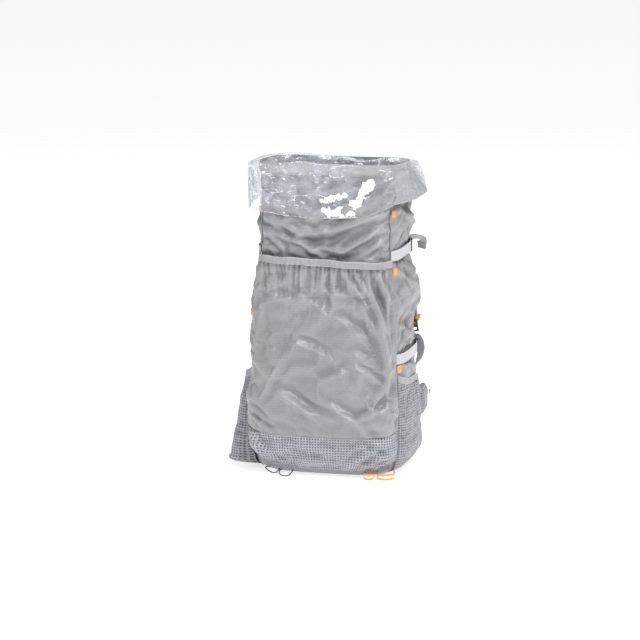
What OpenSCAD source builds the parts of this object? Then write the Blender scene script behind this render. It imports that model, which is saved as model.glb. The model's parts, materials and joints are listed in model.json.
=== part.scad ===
// Tall roll-top hiking pack, standing open, with a clear liner bag cuffed over its collar.
// The origin is the middle of the flat base. The pockets face -Y and the wearer's side +Y.

/* [Bag] */
// Height of the collar's rim above the floor
bag_height = 605; // [585:1:620]
// Half of the bag's width where it is widest
bag_half_width = 152; // [149:1:155]
// Squareness of the bag's plan: 0.5 is a soft square, 1 an ellipse
plan_power = 0.5; // [0.45:0.01:0.55]
// Thickness of the sewn panels
panel_thick = 1.6; // [1.2:0.1:1.8]

/* [Pockets] */
// How far the front pocket stands out where it is fullest
front_pocket_depth = 30; // [26:1:34]
// Height of the front pocket's elastic mouth
front_pocket_top = 420; // [410:1:425]
// Height of the seam between the front pocket and its lower apron
apron_seam = 84; // [70:1:95]
// How far the left side pocket stands out where it is fullest
left_pocket_depth = 32; // [28:1:36]
// How far the right side pocket stands out where it is fullest
right_pocket_depth = 15; // [14:1:20]
// Height of a side pocket's mouth at its front edge
side_pocket_front_top = 200; // [190:1:205]
// Height of a side pocket's mouth at its back edge
side_pocket_back_top = 160; // [150:1:170]
// Width of the elastic tape at the pocket mouths
elastic_width = 13; // [10:1:14]

/* [Straps] */
// Width of the side strap, sternum and adjuster webbing
webbing_width = 20; // [18:1:20]
// Thickness of the webbing
webbing_thick = 1.6; // [1.2:0.1:1.8]
// Height of the upper side strap's middle
upper_strap_height = 428; // [426:1:432]
// Height of the lower side strap's middle
lower_strap_height = 230; // [228:1:236]
// Thickness of the shoulder straps
shoulder_thick = 10; // [8:1:12]
// Thickness of the hip belt wings
wing_thick = 12; // [10:1:13]

/* [Liner] */
// Thickness of the liner's film as a solid
film_thick = 0.8; // [0.6:0.1:1]
// Height of the cuff's hem at the front
cuff_hem_front = 506; // [504:1:510]
// Height of the cuff's hem at the back
cuff_hem_back = 528; // [524:1:532]

/* [Hidden] */

sewing_gap = 0.4;
seam_turn = 0.15;
turn_step = 5;
eps = 0.01;

// Rows of [height, half width, depth in front, depth behind] of the bag's outer surface.
bag_profile = [
    [0, bag_half_width - 34, 88, 84],
    [8, bag_half_width - 18, 100, 96],
    [30, bag_half_width - 6, 110, 104],
    [90, bag_half_width, 114, 106],
    [230, bag_half_width - 3, 116, 107],
    [330, bag_half_width - 2, 113, 107],
    [420, bag_half_width - 16, 107, 106],
    [500, bag_half_width - 18, 104, 104],
    [bag_height, bag_half_width - 16, 98, 100],
];
// Turns of the seams, where the walls meet, starting with the right-hand wall.
front_seam = 30;
back_seam = 45;
wall_turns = [
    [-front_seam, back_seam], [back_seam, 180 - back_seam],
    [180 - back_seam, 180 + front_seam], [180 + front_seam, 360 - front_seam]
];
// The liner hangs as a plain sleeve, so that it can be drawn straight up.
liner_sleeve = [[0, bag_half_width - 32, 88, 84], [700, bag_half_width - 32, 88, 84]];
cuff_sleeve = [[0, bag_half_width - 8, 109, 109], [700, bag_half_width - 8, 109, 109]];

function signed_power(value, power) = sign(value) * pow(abs(value), power);
function at_height(profile, z, column) = lookup(z, [for (row = profile) [row[0], row[column]]]);
// Point on a profile at a turn about Z and a height, standing out proud of it.
function plan_point(profile, turn, z, out) = [
    (at_height(profile, z, 1) + out) * signed_power(cos(turn), plan_power),
    (at_height(profile, z, sin(turn) < 0 ? 2 : 3) + out) * signed_power(sin(turn), plan_power),
    z
];
function bag_point(turn, z, out) = plan_point(bag_profile, turn, z, out);
// 0 at both ends of a run of turns and 1 over its middle.
function plump(turn, middle, half) = 1 - pow(min(1, abs(turn - middle) / half), 3);
function unit(v) = v / norm(v);
function mid_spline(p, i, t) =
    let (a = p[max(i - 1, 0)], b = p[i], c = p[i + 1], d = p[min(i + 2, len(p) - 1)])
    0.5 * ((2 * b) + (c - a) * t + (2 * a - 5 * b + 4 * c - d) * t * t
        + (3 * b - a - 3 * c + d) * t * t * t);
// Smooth curve through points, with a number of steps from each point to the next.
function spline(p, steps) = [
    for (i = [0:len(p) - 2]) for (j = [0:steps - 1]) mid_spline(p, i, j / steps),
    p[len(p) - 1]
];
function tangent(p, i) = unit(p[min(i + 1, len(p) - 1)] - p[max(i - 1, 0)]);
function mirrored(p) = [for (q = p) [-q[0], q[1], q[2]]];

// ---- builders ----

// Closed skin over a grid of outer points and a grid of inner points, both [turn][rise].
module grid_solid(outer, inner) {
    rows = len(outer);
    cols = len(outer[0]);
    count = rows * cols;
    points = concat([for (r = outer) each r], [for (r = inner) each r]);
    function at(i, k, side) = side * count + i * cols + k;
    function quad(a, b, c, d) = [[a, b, c], [a, c, d]];
    faces = [
        for (i = [0:rows - 2]) for (k = [0:cols - 2])
            each quad(at(i, k, 0), at(i, k + 1, 0), at(i + 1, k + 1, 0), at(i + 1, k, 0)),
        for (i = [0:rows - 2]) for (k = [0:cols - 2])
            each quad(at(i, k, 1), at(i + 1, k, 1), at(i + 1, k + 1, 1), at(i, k + 1, 1)),
        for (i = [0:rows - 2]) each quad(at(i, 0, 0), at(i + 1, 0, 0), at(i + 1, 0, 1), at(i, 0, 1)),
        for (i = [0:rows - 2]) let (k = cols - 1)
            each quad(at(i, k, 0), at(i, k, 1), at(i + 1, k, 1), at(i + 1, k, 0)),
        for (k = [0:cols - 2]) each quad(at(0, k, 0), at(0, k, 1), at(0, k + 1, 1), at(0, k + 1, 0)),
        for (k = [0:cols - 2]) let (i = rows - 1)
            each quad(at(i, k, 0), at(i, k + 1, 0), at(i, k + 1, 1), at(i, k, 1)),
    ];
    polyhedron(points, faces, convexity = 6);
}

// Two turns with every multiple of the turn step that lies between them, so that sheets on
// top of each other share their facets.
function stations(turn_0, turn_1) = [
    turn_0,
    for (turn = [ceil(turn_0 / turn_step) * turn_step : turn_step : turn_1])
        if (turn > turn_0 + eps && turn < turn_1 - eps) turn,
    turn_1
];
function evenly(from, to, count) = [for (k = [0:count]) from + (to - from) * k / count];

// Curved sheet on the bag between two turns. heights gives its rows at a turn, and out is how
// far its inner face stands proud at a turn and a height.
module bag_sheet(turn_0, turn_1, heights, out, thick) {
    turns = stations(turn_0, turn_1);
    grid_solid(
        [for (turn = turns) [for (z = heights(turn)) bag_point(turn, z, out(turn, z) + thick)]],
        [for (turn = turns) [for (z = heights(turn)) bag_point(turn, z, out(turn, z))]]
    );
}

// Solid swept along a path. outline is a ring of [across, outward] factors of the half sizes at
// each point, and facing is a vector that the outward side leans towards.
module swept(path, half_across, half_out, facing, outline) {
    function outward(i) =
        let (t = tangent(path, i))
        unit(facing - t * (facing * t));
    function ring(i) =
        let (o = outward(i), a = cross(o, tangent(path, i)))
        [for (q = outline) path[i] + a * q[0] * half_across(i) + o * q[1] * half_out(i)];
    count = len(outline);
    last = len(path) - 1;
    faces = concat(
        [[for (m = [0:count - 1]) m]],
        [for (i = [0:last - 1]) for (m = [0:count - 1])
            let (n = (m + 1) % count, p = i * count)
            each [[p + m, p + count + n, p + n], [p + m, p + count + m, p + count + n]]],
        [[for (m = [0:count - 1]) (last + 1) * count - 1 - m]]
    );
    polyhedron([for (i = [0:last]) each ring(i)], faces, convexity = 6);
}
flat_outline = [[-1, -1], [1, -1], [1, 1], [-1, 1]];
soft_outline = [
    [-1, -0.4], [-0.9, -1], [0.9, -1], [1, -0.4], [1, 0.4], [0.9, 1], [-0.9, 1], [-1, 0.4]
];
upright_outline = [for (m = [7:-1:0]) [soft_outline[m][1], soft_outline[m][0]]];
round_outline = [for (m = [0:7]) [cos(45 * m), sin(45 * m)]];

module webbing(path, width, facing, thick = webbing_thick) {
    swept(path, function (i) width / 2, function (i) thick / 2, facing, flat_outline);
}

// Tape standing on edge: its width is upright and its path runs level.
module upright_tape(path, width, thick = webbing_thick) {
    swept(path, function (i) thick / 2, function (i) width / 2, [0, 0, 1], flat_outline);
}

module cord(path, diameter) {
    radius = function (i) diameter / 2;
    swept(path, radius, radius, [0.02, 0.03, 1], round_outline);
}

// Plate in XZ with round corners, from its middle, thick along +Y.
module rounded_plate(width, height, thick, radius) {
    outline = [
        for (corner = [[1, 1, 0], [-1, 1, 90], [-1, -1, 180], [1, -1, 270]])
            for (turn = [0:15:90])
                [corner[0] * (width / 2 - radius) + radius * cos(corner[2] + turn),
                 corner[1] * (height / 2 - radius) + radius * sin(corner[2] + turn)]
    ];
    translate([0, thick, 0]) rotate([90, 0, 0]) linear_extrude(thick) polygon(outline);
}

module both_sides() {
    children();
    mirror([1, 0, 0]) children();
}

// ---- bag ----

module base_panel() {
    rim = [for (i = [0:71]) let (p = bag_point(i * 5, 5, -panel_thick - sewing_gap)) [p[0], p[1]]];
    color("dimgray") linear_extrude(4.4) polygon(rim);
}

panel_heights = [5, 8, 30, 90, 160, 230, 330, 420, 500];

// One wall of the bag, with rows at the given heights.
module wall(turns, heights = panel_heights) {
    bag_sheet(
        turns[0] + seam_turn, turns[1] - seam_turn,
        function (turn) heights, function (turn, z) -panel_thick, panel_thick
    );
}

module side_panel_right() color("slategray") wall(wall_turns[0]);
module back_panel() color("dimgray") wall(wall_turns[1]);
module side_panel_left() color("slategray") wall(wall_turns[2]);
module front_panel() color("slategray") wall(wall_turns[3]);

module collar() {
    color("slategray") for (turns = wall_turns) wall(turns, [500.5, 550, bag_height - 1]);
}

module collar_hem() {
    color("gray") for (turns = wall_turns)
        bag_sheet(
            turns[0] + 0.2, turns[1] - 0.2, function (turn) [bag_height - 24, bag_height - 1],
            function (turn, z) sewing_gap, 1.2
        );
}

// Side-release buckle halves on short tabs at the two ends of the collar.
module rolltop_buckles() {
    x = at_height(bag_profile, 560, 1) + 2;
    color("black") {
        translate([x, 0, 556]) rotate([0, 0, -90]) difference() {
            rounded_plate(30, 34, 6, 5);
            translate([-11, -1, 9]) cube([22, 8, 3]);
        }
        mirror([1, 0, 0]) translate([x, 0, 556]) rotate([0, 0, -90]) difference() {
            rounded_plate(28, 30, 6, 4);
            translate([-11, -1, 8]) cube([22, 8, 3]);
            translate([-9, -1, -12]) cube([18, 8, 9]);
        }
    }
}

// ---- frame and back ----

stay_x = 76;
stay_y = 92;
stay_radius = 2.8;
stay_bend = 40;
stay_foot = 40;
stay_top = 480;

module frame_stay() {
    color("silver") {
        both_sides() translate([stay_x, stay_y, stay_foot])
            cylinder(h = stay_top - stay_foot, r = stay_radius, $fn = 24);
        both_sides() translate([stay_x - stay_bend, stay_y, stay_top]) rotate([90, 0, 0])
            rotate_extrude(angle = 90, $fn = 48) translate([stay_bend, 0]) circle(r = stay_radius, $fn = 24);
        translate([-(stay_x - stay_bend), stay_y, stay_top + stay_bend]) rotate([0, 90, 0])
            cylinder(h = 2 * (stay_x - stay_bend), r = stay_radius, $fn = 24);
    }
}

module stay_end_caps() {
    color("black") both_sides() translate([stay_x, stay_y, stay_foot - 3]) difference() {
        cylinder(h = 17, r = stay_radius + 1.6, $fn = 32);
        translate([0, 0, 2.9]) cylinder(h = 20, r = stay_radius + 0.06, $fn = 32);
    }
}

module back_pad() {
    color("gray") translate([0, 108, 262]) rounded_plate(196, 384, 8, 18);
}

module pad_mesh_upper() {
    color("lightgray") translate([0, 116.4, 400]) rounded_plate(200, 96, 1, 10);
}

module pad_mesh_lower() {
    color("lightgray") translate([0, 116.4, 118]) rounded_plate(176, 120, 1, 10);
}

module lumbar_pad() {
    color("dimgray") translate([0, 117.8, 106]) rounded_plate(166, 112, 13, 16);
}

haul_half_width = 8;
haul_path = [
    [-36, 106.8, 504], [-35, 120, 502], [-20, 134, 497], [0, 138, 495], [20, 134, 497],
    [35, 120, 502], [36, 106.8, 504]
];
haul_curve = spline(haul_path, 3);

// The loop narrows to its sewn ends, which leaves it room to lift.
module haul_loop() {
    last = len(haul_curve) - 1;
    color("dimgray") swept(
        haul_curve, function (i) 1,
        function (i) haul_half_width * min(1, 0.35 + 0.25 * min(i, last - i)), [0, 0, 1],
        flat_outline
    );
}

// ---- pockets ----

hem_height = 14;

front_edge = 90 - front_seam - 1.2;
function front_pocket_out(turn, z) = sewing_gap
    + plump(turn, 270, front_edge + 0.2) * lookup(z, [
        [10, 2], [35, front_pocket_depth * 0.55], [apron_seam, front_pocket_depth],
        [180, front_pocket_depth * 0.95], [300, front_pocket_depth * 0.66],
        [front_pocket_top - 8, 15.5], [front_pocket_top + 10, 15]
    ]);

front_pocket_out_at = function (turn, z) front_pocket_out(turn, z);
// The apron's seam rises towards both corners.
function seam_height(turn) = apron_seam + 14 * pow(abs(turn - 270) / front_edge, 2);

module front_pocket() {
    color("slategray") bag_sheet(
        270 - front_edge, 270 + front_edge, function (turn) [
            seam_height(turn) + 0.4, 125, 160, 195, 230, 265, 300, 330, 360, 385,
            front_pocket_top - elastic_width / 2 - 0.4
        ], front_pocket_out_at, 1.4
    );
}

module front_pocket_band() {
    color("lightgray") bag_sheet(
        270.3 - front_edge, 269.7 + front_edge, function (turn) evenly(
            front_pocket_top - elastic_width / 2, front_pocket_top + elastic_width / 2, 1
        ), front_pocket_out_at, 2
    );
}

module front_pocket_apron() {
    color("lightgray") bag_sheet(
        270 - front_edge, 270 + front_edge, function (turn) [hem_height, 30, 48, 66, seam_height(turn)],
        front_pocket_out_at, 1.4
    );
}

side_pocket_turns = [2 - front_seam, back_seam - 3];
side_middle = (side_pocket_turns[0] + side_pocket_turns[1]) / 2;
side_half = (side_pocket_turns[1] - side_pocket_turns[0]) / 2;
function side_pocket_top(turn) = side_pocket_front_top
    + (side_pocket_back_top - side_pocket_front_top) * (turn - side_pocket_turns[0])
        / (2 * side_half);
function side_pocket_out(depth) = function (turn, z) sewing_gap
    + plump(turn, side_middle, side_half + 0.2) * depth * lookup(z / side_pocket_top(turn), [
        [0.05, 0.15], [0.2, 0.7], [0.45, 1], [0.75, 0.9], [1, 0.6]
    ]);

module side_pocket(depth) {
    color("lightgray") bag_sheet(
        side_pocket_turns[0], side_pocket_turns[1], function (turn) concat(
            [hem_height, 30, 50], evenly(70, side_pocket_top(turn) - elastic_width - 0.4, 5)
        ), side_pocket_out(depth), 1.4
    );
}
module side_pocket_band(depth) {
    color("gray") bag_sheet(
        side_pocket_turns[0], side_pocket_turns[1],
        function (turn) evenly(side_pocket_top(turn) - elastic_width, side_pocket_top(turn), 1),
        side_pocket_out(depth), 1.8
    );
}
module side_pocket_right() side_pocket(right_pocket_depth);
module side_pocket_band_right() side_pocket_band(right_pocket_depth);
module side_pocket_left() mirror([1, 0, 0]) side_pocket(left_pocket_depth);
module side_pocket_band_left() mirror([1, 0, 0]) side_pocket_band(left_pocket_depth);

// ---- side straps and loops ----

strap_turns = [1.2 - front_seam, back_seam - 1.5];
// A side strap bows clear of the fabric between its sewn ends.
function strap_out(turn) = sewing_gap
    + 2.8 * plump(turn, (strap_turns[0] + strap_turns[1]) / 2, (strap_turns[1] - strap_turns[0]) / 2);

module side_strap(z) {
    color("lightgray") bag_sheet(
        strap_turns[0], strap_turns[1],
        function (turn) [z - webbing_width / 2, z + webbing_width / 2],
        function (turn, height) strap_out(turn), webbing_thick
    );
}

module side_strap_upper_right() side_strap(upper_strap_height);
module side_strap_lower_right() side_strap(lower_strap_height);
module side_strap_upper_left() mirror([1, 0, 0]) side_strap_upper_right();
module side_strap_lower_left() mirror([1, 0, 0]) side_strap_lower_right();

// Tri-glide round a side strap: a flat frame with a slot that clears the webbing.
keeper_turns = [20, 25];
module keeper(z) {
    ends = [for (turn = keeper_turns) bag_point(turn, z, strap_out(turn) + webbing_thick / 2)];
    along = ends[1] - ends[0];
    translate((ends[0] + ends[1]) / 2) rotate([0, 0, atan2(along[1], along[0])]) difference() {
        translate([-5, -2.8, -13]) cube([10, 5.6, 26]);
        translate([-6, -1.5, -10.6]) cube([12, 3, 21.2]);
    }
}
module side_strap_keepers() {
    color("black") both_sides() {
        keeper(upper_strap_height);
        keeper(lower_strap_height);
    }
}

// Free end of the upper side strap: it stands out from the corner and folds down.
module strap_tails() {
    path = [[120.6, 92.4, 432], [128, 97, 437], [139, 104, 438], [146, 109, 433], [148, 110.5, 424], [147, 110, 414]];
    color("gray") both_sides()
        webbing(spline(path, 3), webbing_width, [-0.2, -0.5, 1], webbing_thick);
}

// Folded tape loops sewn into the seams at the bag's corners.
module gear_loop(turn, z) {
    bag_sheet(
        turn, turn + 8, function (t) [z - 7, z + 7], function (t, height) sewing_gap + 0.2, 2.4
    );
}
module gear_loops_right() {
    color("orange") for (z = [508.5, 398, 211]) gear_loop(1 - front_seam, z);
}
module gear_loops_left() {
    color("orange") mirror([1, 0, 0]) for (z = [508.5, 309, 211]) gear_loop(1 - front_seam, z);
}

// Striped tape loops at the base's front corner.
module tool_loops() {
    small = [
        [86, -100, 6.8], [85, -112, 6.8], [90, -119, 6.8], [98, -119, 6.8], [102, -112, 6.8],
        [100, -97, 6.8]
    ];
    large = [
        [107, -93, 6.8], [110, -107, 6.8], [121, -114, 6.8], [134, -109, 6.8], [141, -96, 6.8],
        [134, -72, 6.8]
    ];
    color("orange") for (path = [small, large]) upright_tape(spline(path, 3), 11);
}

// Cord loops for trekking poles at the base's other front corner.
outer_cord = [
    [-107, -92.5, 10], [-111, -101, 11], [-110, -110, 11], [-104, -117, 9], [-96, -119.5, 5.5],
    [-89, -116, 4], [-85.5, -109, 7], [-84, -101.5, 9.5]
];
inner_cord = [
    [-79, -103, 9], [-82, -110, 7], [-81, -118, 4], [-75, -125, 2.4], [-67, -126, 1.8],
    [-61, -120, 2.2], [-58, -111, 6], [-57.5, -104, 9]
];
cord_diameter = 2.6;
module pole_cord_outer() color("black") cord(spline(outer_cord, 3), cord_diameter);
module pole_cord_inner() color("black") cord(spline(inner_cord, 3), cord_diameter);

// ---- liner ----

function cuff_hem(turn) = cuff_hem_front
    + (cuff_hem_back - cuff_hem_front) * (0.5 + 0.5 * sin(turn))
    + 3 * abs(cos(turn));
function cuff_out(turn) = 14 * pow(abs(cos(turn)), 6);

module liner_ring(rows) {
    steps = 48;
    count = len(rows(0));
    points = [for (i = [0:steps - 1]) each rows(i * 360 / steps)];
    faces = [
        for (i = [0:steps - 1]) for (m = [0:count - 1])
            let (p = i * count, q = ((i + 1) % steps) * count, n = (m + 1) % count)
            each [[p + m, p + n, q + n], [p + m, q + n, q + m]]
    ];
    polyhedron(points, faces, convexity = 8);
}

module liner() {
    floor_z = 20;
    fold_z = bag_height + 2;
    function inside(turn, z, out) = plan_point(liner_sleeve, turn, z, out);
    function cuff(turn, z, out) = plan_point(cuff_sleeve, turn, z, out + cuff_out(turn));
    color("lightblue") {
        liner_ring(function (turn) [
            inside(turn, floor_z, 0), inside(turn, fold_z, 0), cuff(turn, fold_z, 0),
            cuff(turn, cuff_hem(turn), 0), cuff(turn, cuff_hem(turn), film_thick),
            cuff(turn, fold_z + film_thick, film_thick), inside(turn, fold_z + film_thick, -film_thick),
            inside(turn, floor_z, -film_thick),
        ]);
        translate([0, 0, floor_z + 1]) linear_extrude(film_thick) polygon([
            for (i = [0:47]) let (p = inside(i * 7.5, floor_z, -film_thick / 2)) [p[0], p[1]]
        ]);
    }
}

// ---- harness ----

shoulder_path = [
    [40, 126, 474], [46, 137, 462], [58, 156, 432], [72, 169, 390], [87, 175, 345],
    [101, 173, 302], [113, 164, 262]
];
shoulder_curve = spline(shoulder_path, 4);
shoulder_widths = [[0, 27], [6, 31], [14, 30], [20, 24], [24, 17]];

module harness_yoke() {
    color("dimgray") translate([0, 119.4, 454]) rounded_plate(150, 40, 6, 12);
}

module shoulder_strap_right() {
    color("dimgray") swept(
        [for (i = [3:len(shoulder_curve) - 1]) shoulder_curve[i]],
        function (i) lookup(i + 3, shoulder_widths), function (i) shoulder_thick / 2, [0, 1, 0.2],
        soft_outline
    );
}
module shoulder_strap_left() mirror([1, 0, 0]) shoulder_strap_right();

// Ladder-locks that the lower webbing runs through.
module strap_adjusters() {
    color("black") both_sides() translate([116, 160.5, 248]) rotate([-14, -14, 0]) difference() {
        translate([-14, -2.5, -12]) cube([28, 5, 24]);
        translate([-11, -3, -8.5]) cube([22, 6, 5]);
        translate([-11, -3, 1.5]) cube([22, 6, 5]);
    }
}

module strap_pulls() {
    path = [[115, 173.5, 250], [120, 176, 257], [124, 178, 265], [125, 179, 271]];
    color("orange") both_sides() webbing(spline(path, 2), 14, [0.3, 1, 0], 2.4);
}

lower_path = [
    [121, 168, 233.5], [124, 170.5, 229], [130, 172, 220], [135, 168, 204], [135, 150, 186],
    [131, 126, 172], [126, 104, 163]
];
module lower_webbing_right() {
    color("gray") webbing(spline(lower_path, 4), webbing_width - 2, [0.8, 0.6, 0.3]);
}
module lower_webbing_left() mirror([1, 0, 0]) lower_webbing_right();

// ---- sternum strap ----

sternum_z = 362;
sternum_y = 186;
sternum_x = 82;

module sternum_sliders() {
    color("black") both_sides() translate([sternum_x, sternum_y, sternum_z]) difference() {
        translate([-10, -3, -13]) cube([20, 6, 26]);
        translate([-11, -1.4, -10.6]) cube([22, 2.8, 21.2]);
    }
}

module sternum_strap_left() {
    color("gray") translate([-sternum_x - 16, sternum_y - webbing_thick / 2, sternum_z - 10])
        cube([sternum_x - 8.5, webbing_thick, 20]);
}
module sternum_strap_right() {
    color("gray") translate([32, sternum_y - webbing_thick / 2, sternum_z - 10])
        cube([sternum_x - 16, webbing_thick, 20]);
}

module female_buckle(length, height, thick) {
    difference() {
        translate([0, -thick / 2, 0]) rounded_plate(length, height, thick, 4);
        translate([-length / 2 + 9, -thick / 2 + 1.6, -height / 2 + 3])
            cube([length, thick - 3.2, height - 6]);
        translate([-length / 2 + 12, -thick, -height / 2 + 2])
            cube([length * 0.3, 2 * thick, 2.6]);
        translate([-length / 2 + 12, -thick, height / 2 - 4.6])
            cube([length * 0.3, 2 * thick, 2.6]);
        translate([-length / 2 + 2.5, -thick, -height / 2 + 4]) cube([3.5, 2 * thick, height - 8]);
    }
}

module male_buckle(length, height, thick, prong) {
    bar = length - prong;
    difference() {
        translate([bar / 2 + 0.4, -thick / 2, 0]) rounded_plate(bar, height, thick, 3);
        translate([bar - 5.6, -thick, -height / 2 + 4]) cube([3.5, 2 * thick, height - 8]);
    }
    for (side = [-1, 1])
        translate([-prong, -(thick - 4.4) / 2, side * (height / 2 - 5.6) - 1.6])
            cube([prong + 1, thick - 4.4, 3.2]);
    translate([-prong + 4, -(thick - 4.4) / 2, -1.5]) cube([prong - 3, thick - 4.4, 3]);
}

module sternum_buckle_female() {
    color("black") translate([-9, sternum_y, sternum_z]) female_buckle(30, 26, 8);
}
module sternum_buckle_male() {
    color("black") translate([6, sternum_y, sternum_z]) male_buckle(30, 25, 8, 13);
}

// ---- hip belt ----

wing_path = [
    [90, 126, 106], [105, 129, 105], [117, 140, 104], [121, 160, 102], [118, 182, 99],
    [108, 204, 96], [90, 222, 94], [64, 236, 92]
];
wing_curve = spline(wing_path, 3);
wing_heights = [[0, 56], [6, 54], [12, 48], [18, 38], [21, 32]];
pouch_middle = [120.2, 172, 100];
pouch_turn = -86;

module hip_wing_right() {
    color("gray") swept(
        wing_curve, function (i) wing_thick / 2, function (i) lookup(i, wing_heights), [0, 0, 1],
        upright_outline
    );
}
module hip_pouch_right() {
    color("dimgray") translate(pouch_middle) rotate([0, 0, pouch_turn])
        translate([0, wing_thick / 2 + 1, 0]) hull() {
            rounded_plate(76, 66, 2, 12);
            translate([0, 18, -4]) rounded_plate(56, 48, 2, 14);
        }
}
module zip_pull_right() {
    color("orange") translate(pouch_middle) rotate([0, 0, pouch_turn])
        translate([-20, wing_thick / 2 + 21.5, 12]) difference() {
            rounded_plate(16, 8, 2, 3);
            translate([5, -1, 0]) rotate([-90, 0, 0]) cylinder(h = 4, r = 1.6, $fn = 24);
        }
}
module hip_strap_right() {
    path = [[60.6, 238, 92], [55.4, 240.8, 91.2], [49.5, 243.8, 82], [46, 246, 62], [44, 247, 40]];
    color("lightgray") webbing(spline(path, 3), 34, [0.47, 0.88, 0.1], 2);
}
module hip_wing_left() mirror([1, 0, 0]) hip_wing_right();
module hip_pouch_left() mirror([1, 0, 0]) hip_pouch_right();
module zip_pull_left() mirror([1, 0, 0]) zip_pull_right();
module hip_strap_left() mirror([1, 0, 0]) hip_strap_right();

module hip_buckle_female() {
    color("black") translate([-44, 247, 18.5]) rotate([0, -90, 0]) female_buckle(36, 40, 9);
}
module hip_buckle_male() {
    color("black") translate([44, 247, 17]) rotate([0, -90, 0]) male_buckle(36, 39, 9, 15);
}

base_panel();
front_panel();
side_panel_left();
side_panel_right();
back_panel();
collar();
collar_hem();
rolltop_buckles();
frame_stay();
stay_end_caps();
back_pad();
pad_mesh_upper();
pad_mesh_lower();
front_pocket();
front_pocket_band();
front_pocket_apron();
side_pocket_left();
side_pocket_right();
side_pocket_band_left();
side_pocket_band_right();
side_strap_upper_left();
side_strap_upper_right();
side_strap_lower_left();
side_strap_lower_right();
side_strap_keepers();
strap_tails();
gear_loops_left();
gear_loops_right();
tool_loops();
pole_cord_outer();
pole_cord_inner();
lumbar_pad();
lower_webbing_left();
lower_webbing_right();
haul_loop();
liner();
harness_yoke();
shoulder_strap_left();
shoulder_strap_right();
strap_adjusters();
strap_pulls();
sternum_sliders();
sternum_strap_left();
sternum_buckle_female();
sternum_strap_right();
sternum_buckle_male();
hip_wing_left();
hip_wing_right();
hip_pouch_left();
hip_pouch_right();
zip_pull_left();
zip_pull_right();
hip_strap_left();
hip_strap_right();
hip_buckle_female();
hip_buckle_male();
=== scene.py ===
"""Looks of the roll-top pack and its clear liner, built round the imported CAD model."""
import json
import math

import bpy
import numpy as np
from mathutils import Matrix, Vector, noise


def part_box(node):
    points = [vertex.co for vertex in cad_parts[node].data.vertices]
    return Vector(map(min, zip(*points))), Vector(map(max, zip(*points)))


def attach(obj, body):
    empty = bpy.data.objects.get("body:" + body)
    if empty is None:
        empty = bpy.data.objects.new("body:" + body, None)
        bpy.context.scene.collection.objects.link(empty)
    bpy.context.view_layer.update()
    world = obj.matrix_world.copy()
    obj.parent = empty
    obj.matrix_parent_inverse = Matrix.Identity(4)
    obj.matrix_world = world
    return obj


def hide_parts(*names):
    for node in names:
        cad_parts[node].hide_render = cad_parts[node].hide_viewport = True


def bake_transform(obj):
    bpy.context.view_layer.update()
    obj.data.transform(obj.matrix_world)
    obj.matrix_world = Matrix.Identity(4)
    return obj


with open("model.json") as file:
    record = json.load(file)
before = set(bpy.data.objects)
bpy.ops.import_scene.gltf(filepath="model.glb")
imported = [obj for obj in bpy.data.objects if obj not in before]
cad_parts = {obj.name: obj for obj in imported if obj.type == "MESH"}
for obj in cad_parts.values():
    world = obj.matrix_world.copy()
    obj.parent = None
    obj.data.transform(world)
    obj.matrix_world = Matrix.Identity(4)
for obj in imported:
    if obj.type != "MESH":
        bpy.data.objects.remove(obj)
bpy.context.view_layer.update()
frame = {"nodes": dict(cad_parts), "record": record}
scene = bpy.context.scene
BODY = {n: b for b, names in frame["record"]["behaviour"]["bodies"].items() for n in names}
SIDES = ((1, "right"), (-1, "left"))

# ---- camera, in metres ----
TURN, RISE, AWAY = math.radians(14), math.radians(11), 6.0
AIM_RIGHT, AIM_UP, LENS = -0.0288, 0.28, 172.9
back = Vector((math.sin(TURN) * math.cos(RISE), -math.cos(TURN) * math.cos(RISE), math.sin(RISE)))
right = Vector((math.cos(TURN), math.sin(TURN), 0))
up = back.cross(right)
camera = bpy.data.objects.new("camera", bpy.data.cameras.new("camera"))
scene.collection.objects.link(camera)
camera.data.lens = LENS
camera.matrix_world = (
    Matrix.Translation(back * AWAY + right * AIM_RIGHT + up * AIM_UP)
    @ Matrix((right, up, back)).transposed().to_4x4()
)
scene.camera = camera


# ---- curves and directions. Every length from here on is in millimetres. ----
def curve(rows, x):
    """Smooth curve through rows of [x, value], flat beyond both ends."""
    xs, ys = np.array(rows, float).T
    slopes = np.gradient(ys, xs)
    x = np.clip(x, xs[0], xs[-1])
    i = np.clip(np.searchsorted(xs, x, side="right") - 1, 0, len(xs) - 2)
    step = xs[i + 1] - xs[i]
    t = (x - xs[i]) / step
    return (
        (2 * t**3 - 3 * t**2 + 1) * ys[i] + (t**3 - 2 * t**2 + t) * step * slopes[i]
        + (3 * t**2 - 2 * t**3) * ys[i + 1] + (t**3 - t**2) * step * slopes[i + 1]
    )


def ease(low, high, x):
    """0 below low, 1 above high and smooth between. It falls if low is the greater."""
    t = np.clip((x - low) / (high - low), 0, 1)
    return t * t * (3 - 2 * t)


def bell(x, middle, width):
    """1 at the middle and near 0 at two widths from it."""
    return np.exp(-((x - middle) / width) ** 2)


def spline(points, steps):
    """Smooth curve through points, with a number of steps from each point to the next."""
    p = np.array(points, float)
    p = np.vstack([p[:1], p, p[-1:]])
    out = []
    for i in range(1, len(p) - 2):
        a, b, c, d = p[i - 1:i + 3]
        for t in np.arange(steps) / steps:
            out.append(0.5 * (
                2 * b + (c - a) * t + (2 * a - 5 * b + 4 * c - d) * t * t
                + (3 * b - a - 3 * c + d) * t**3
            ))
    return np.array(out + [p[-2]])


def together(*parts):
    """Values that broadcast against each other, side by side on a new last axis."""
    return np.stack(np.broadcast_arrays(*parts), -1).astype(float)


def signed(angle):
    """The same angle, from -180 to 180 degrees."""
    return (np.asarray(angle) + 180) % 360 - 180


def unit(v):
    return v / np.maximum(np.linalg.norm(v, axis=-1, keepdims=True), 1e-9)


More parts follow.
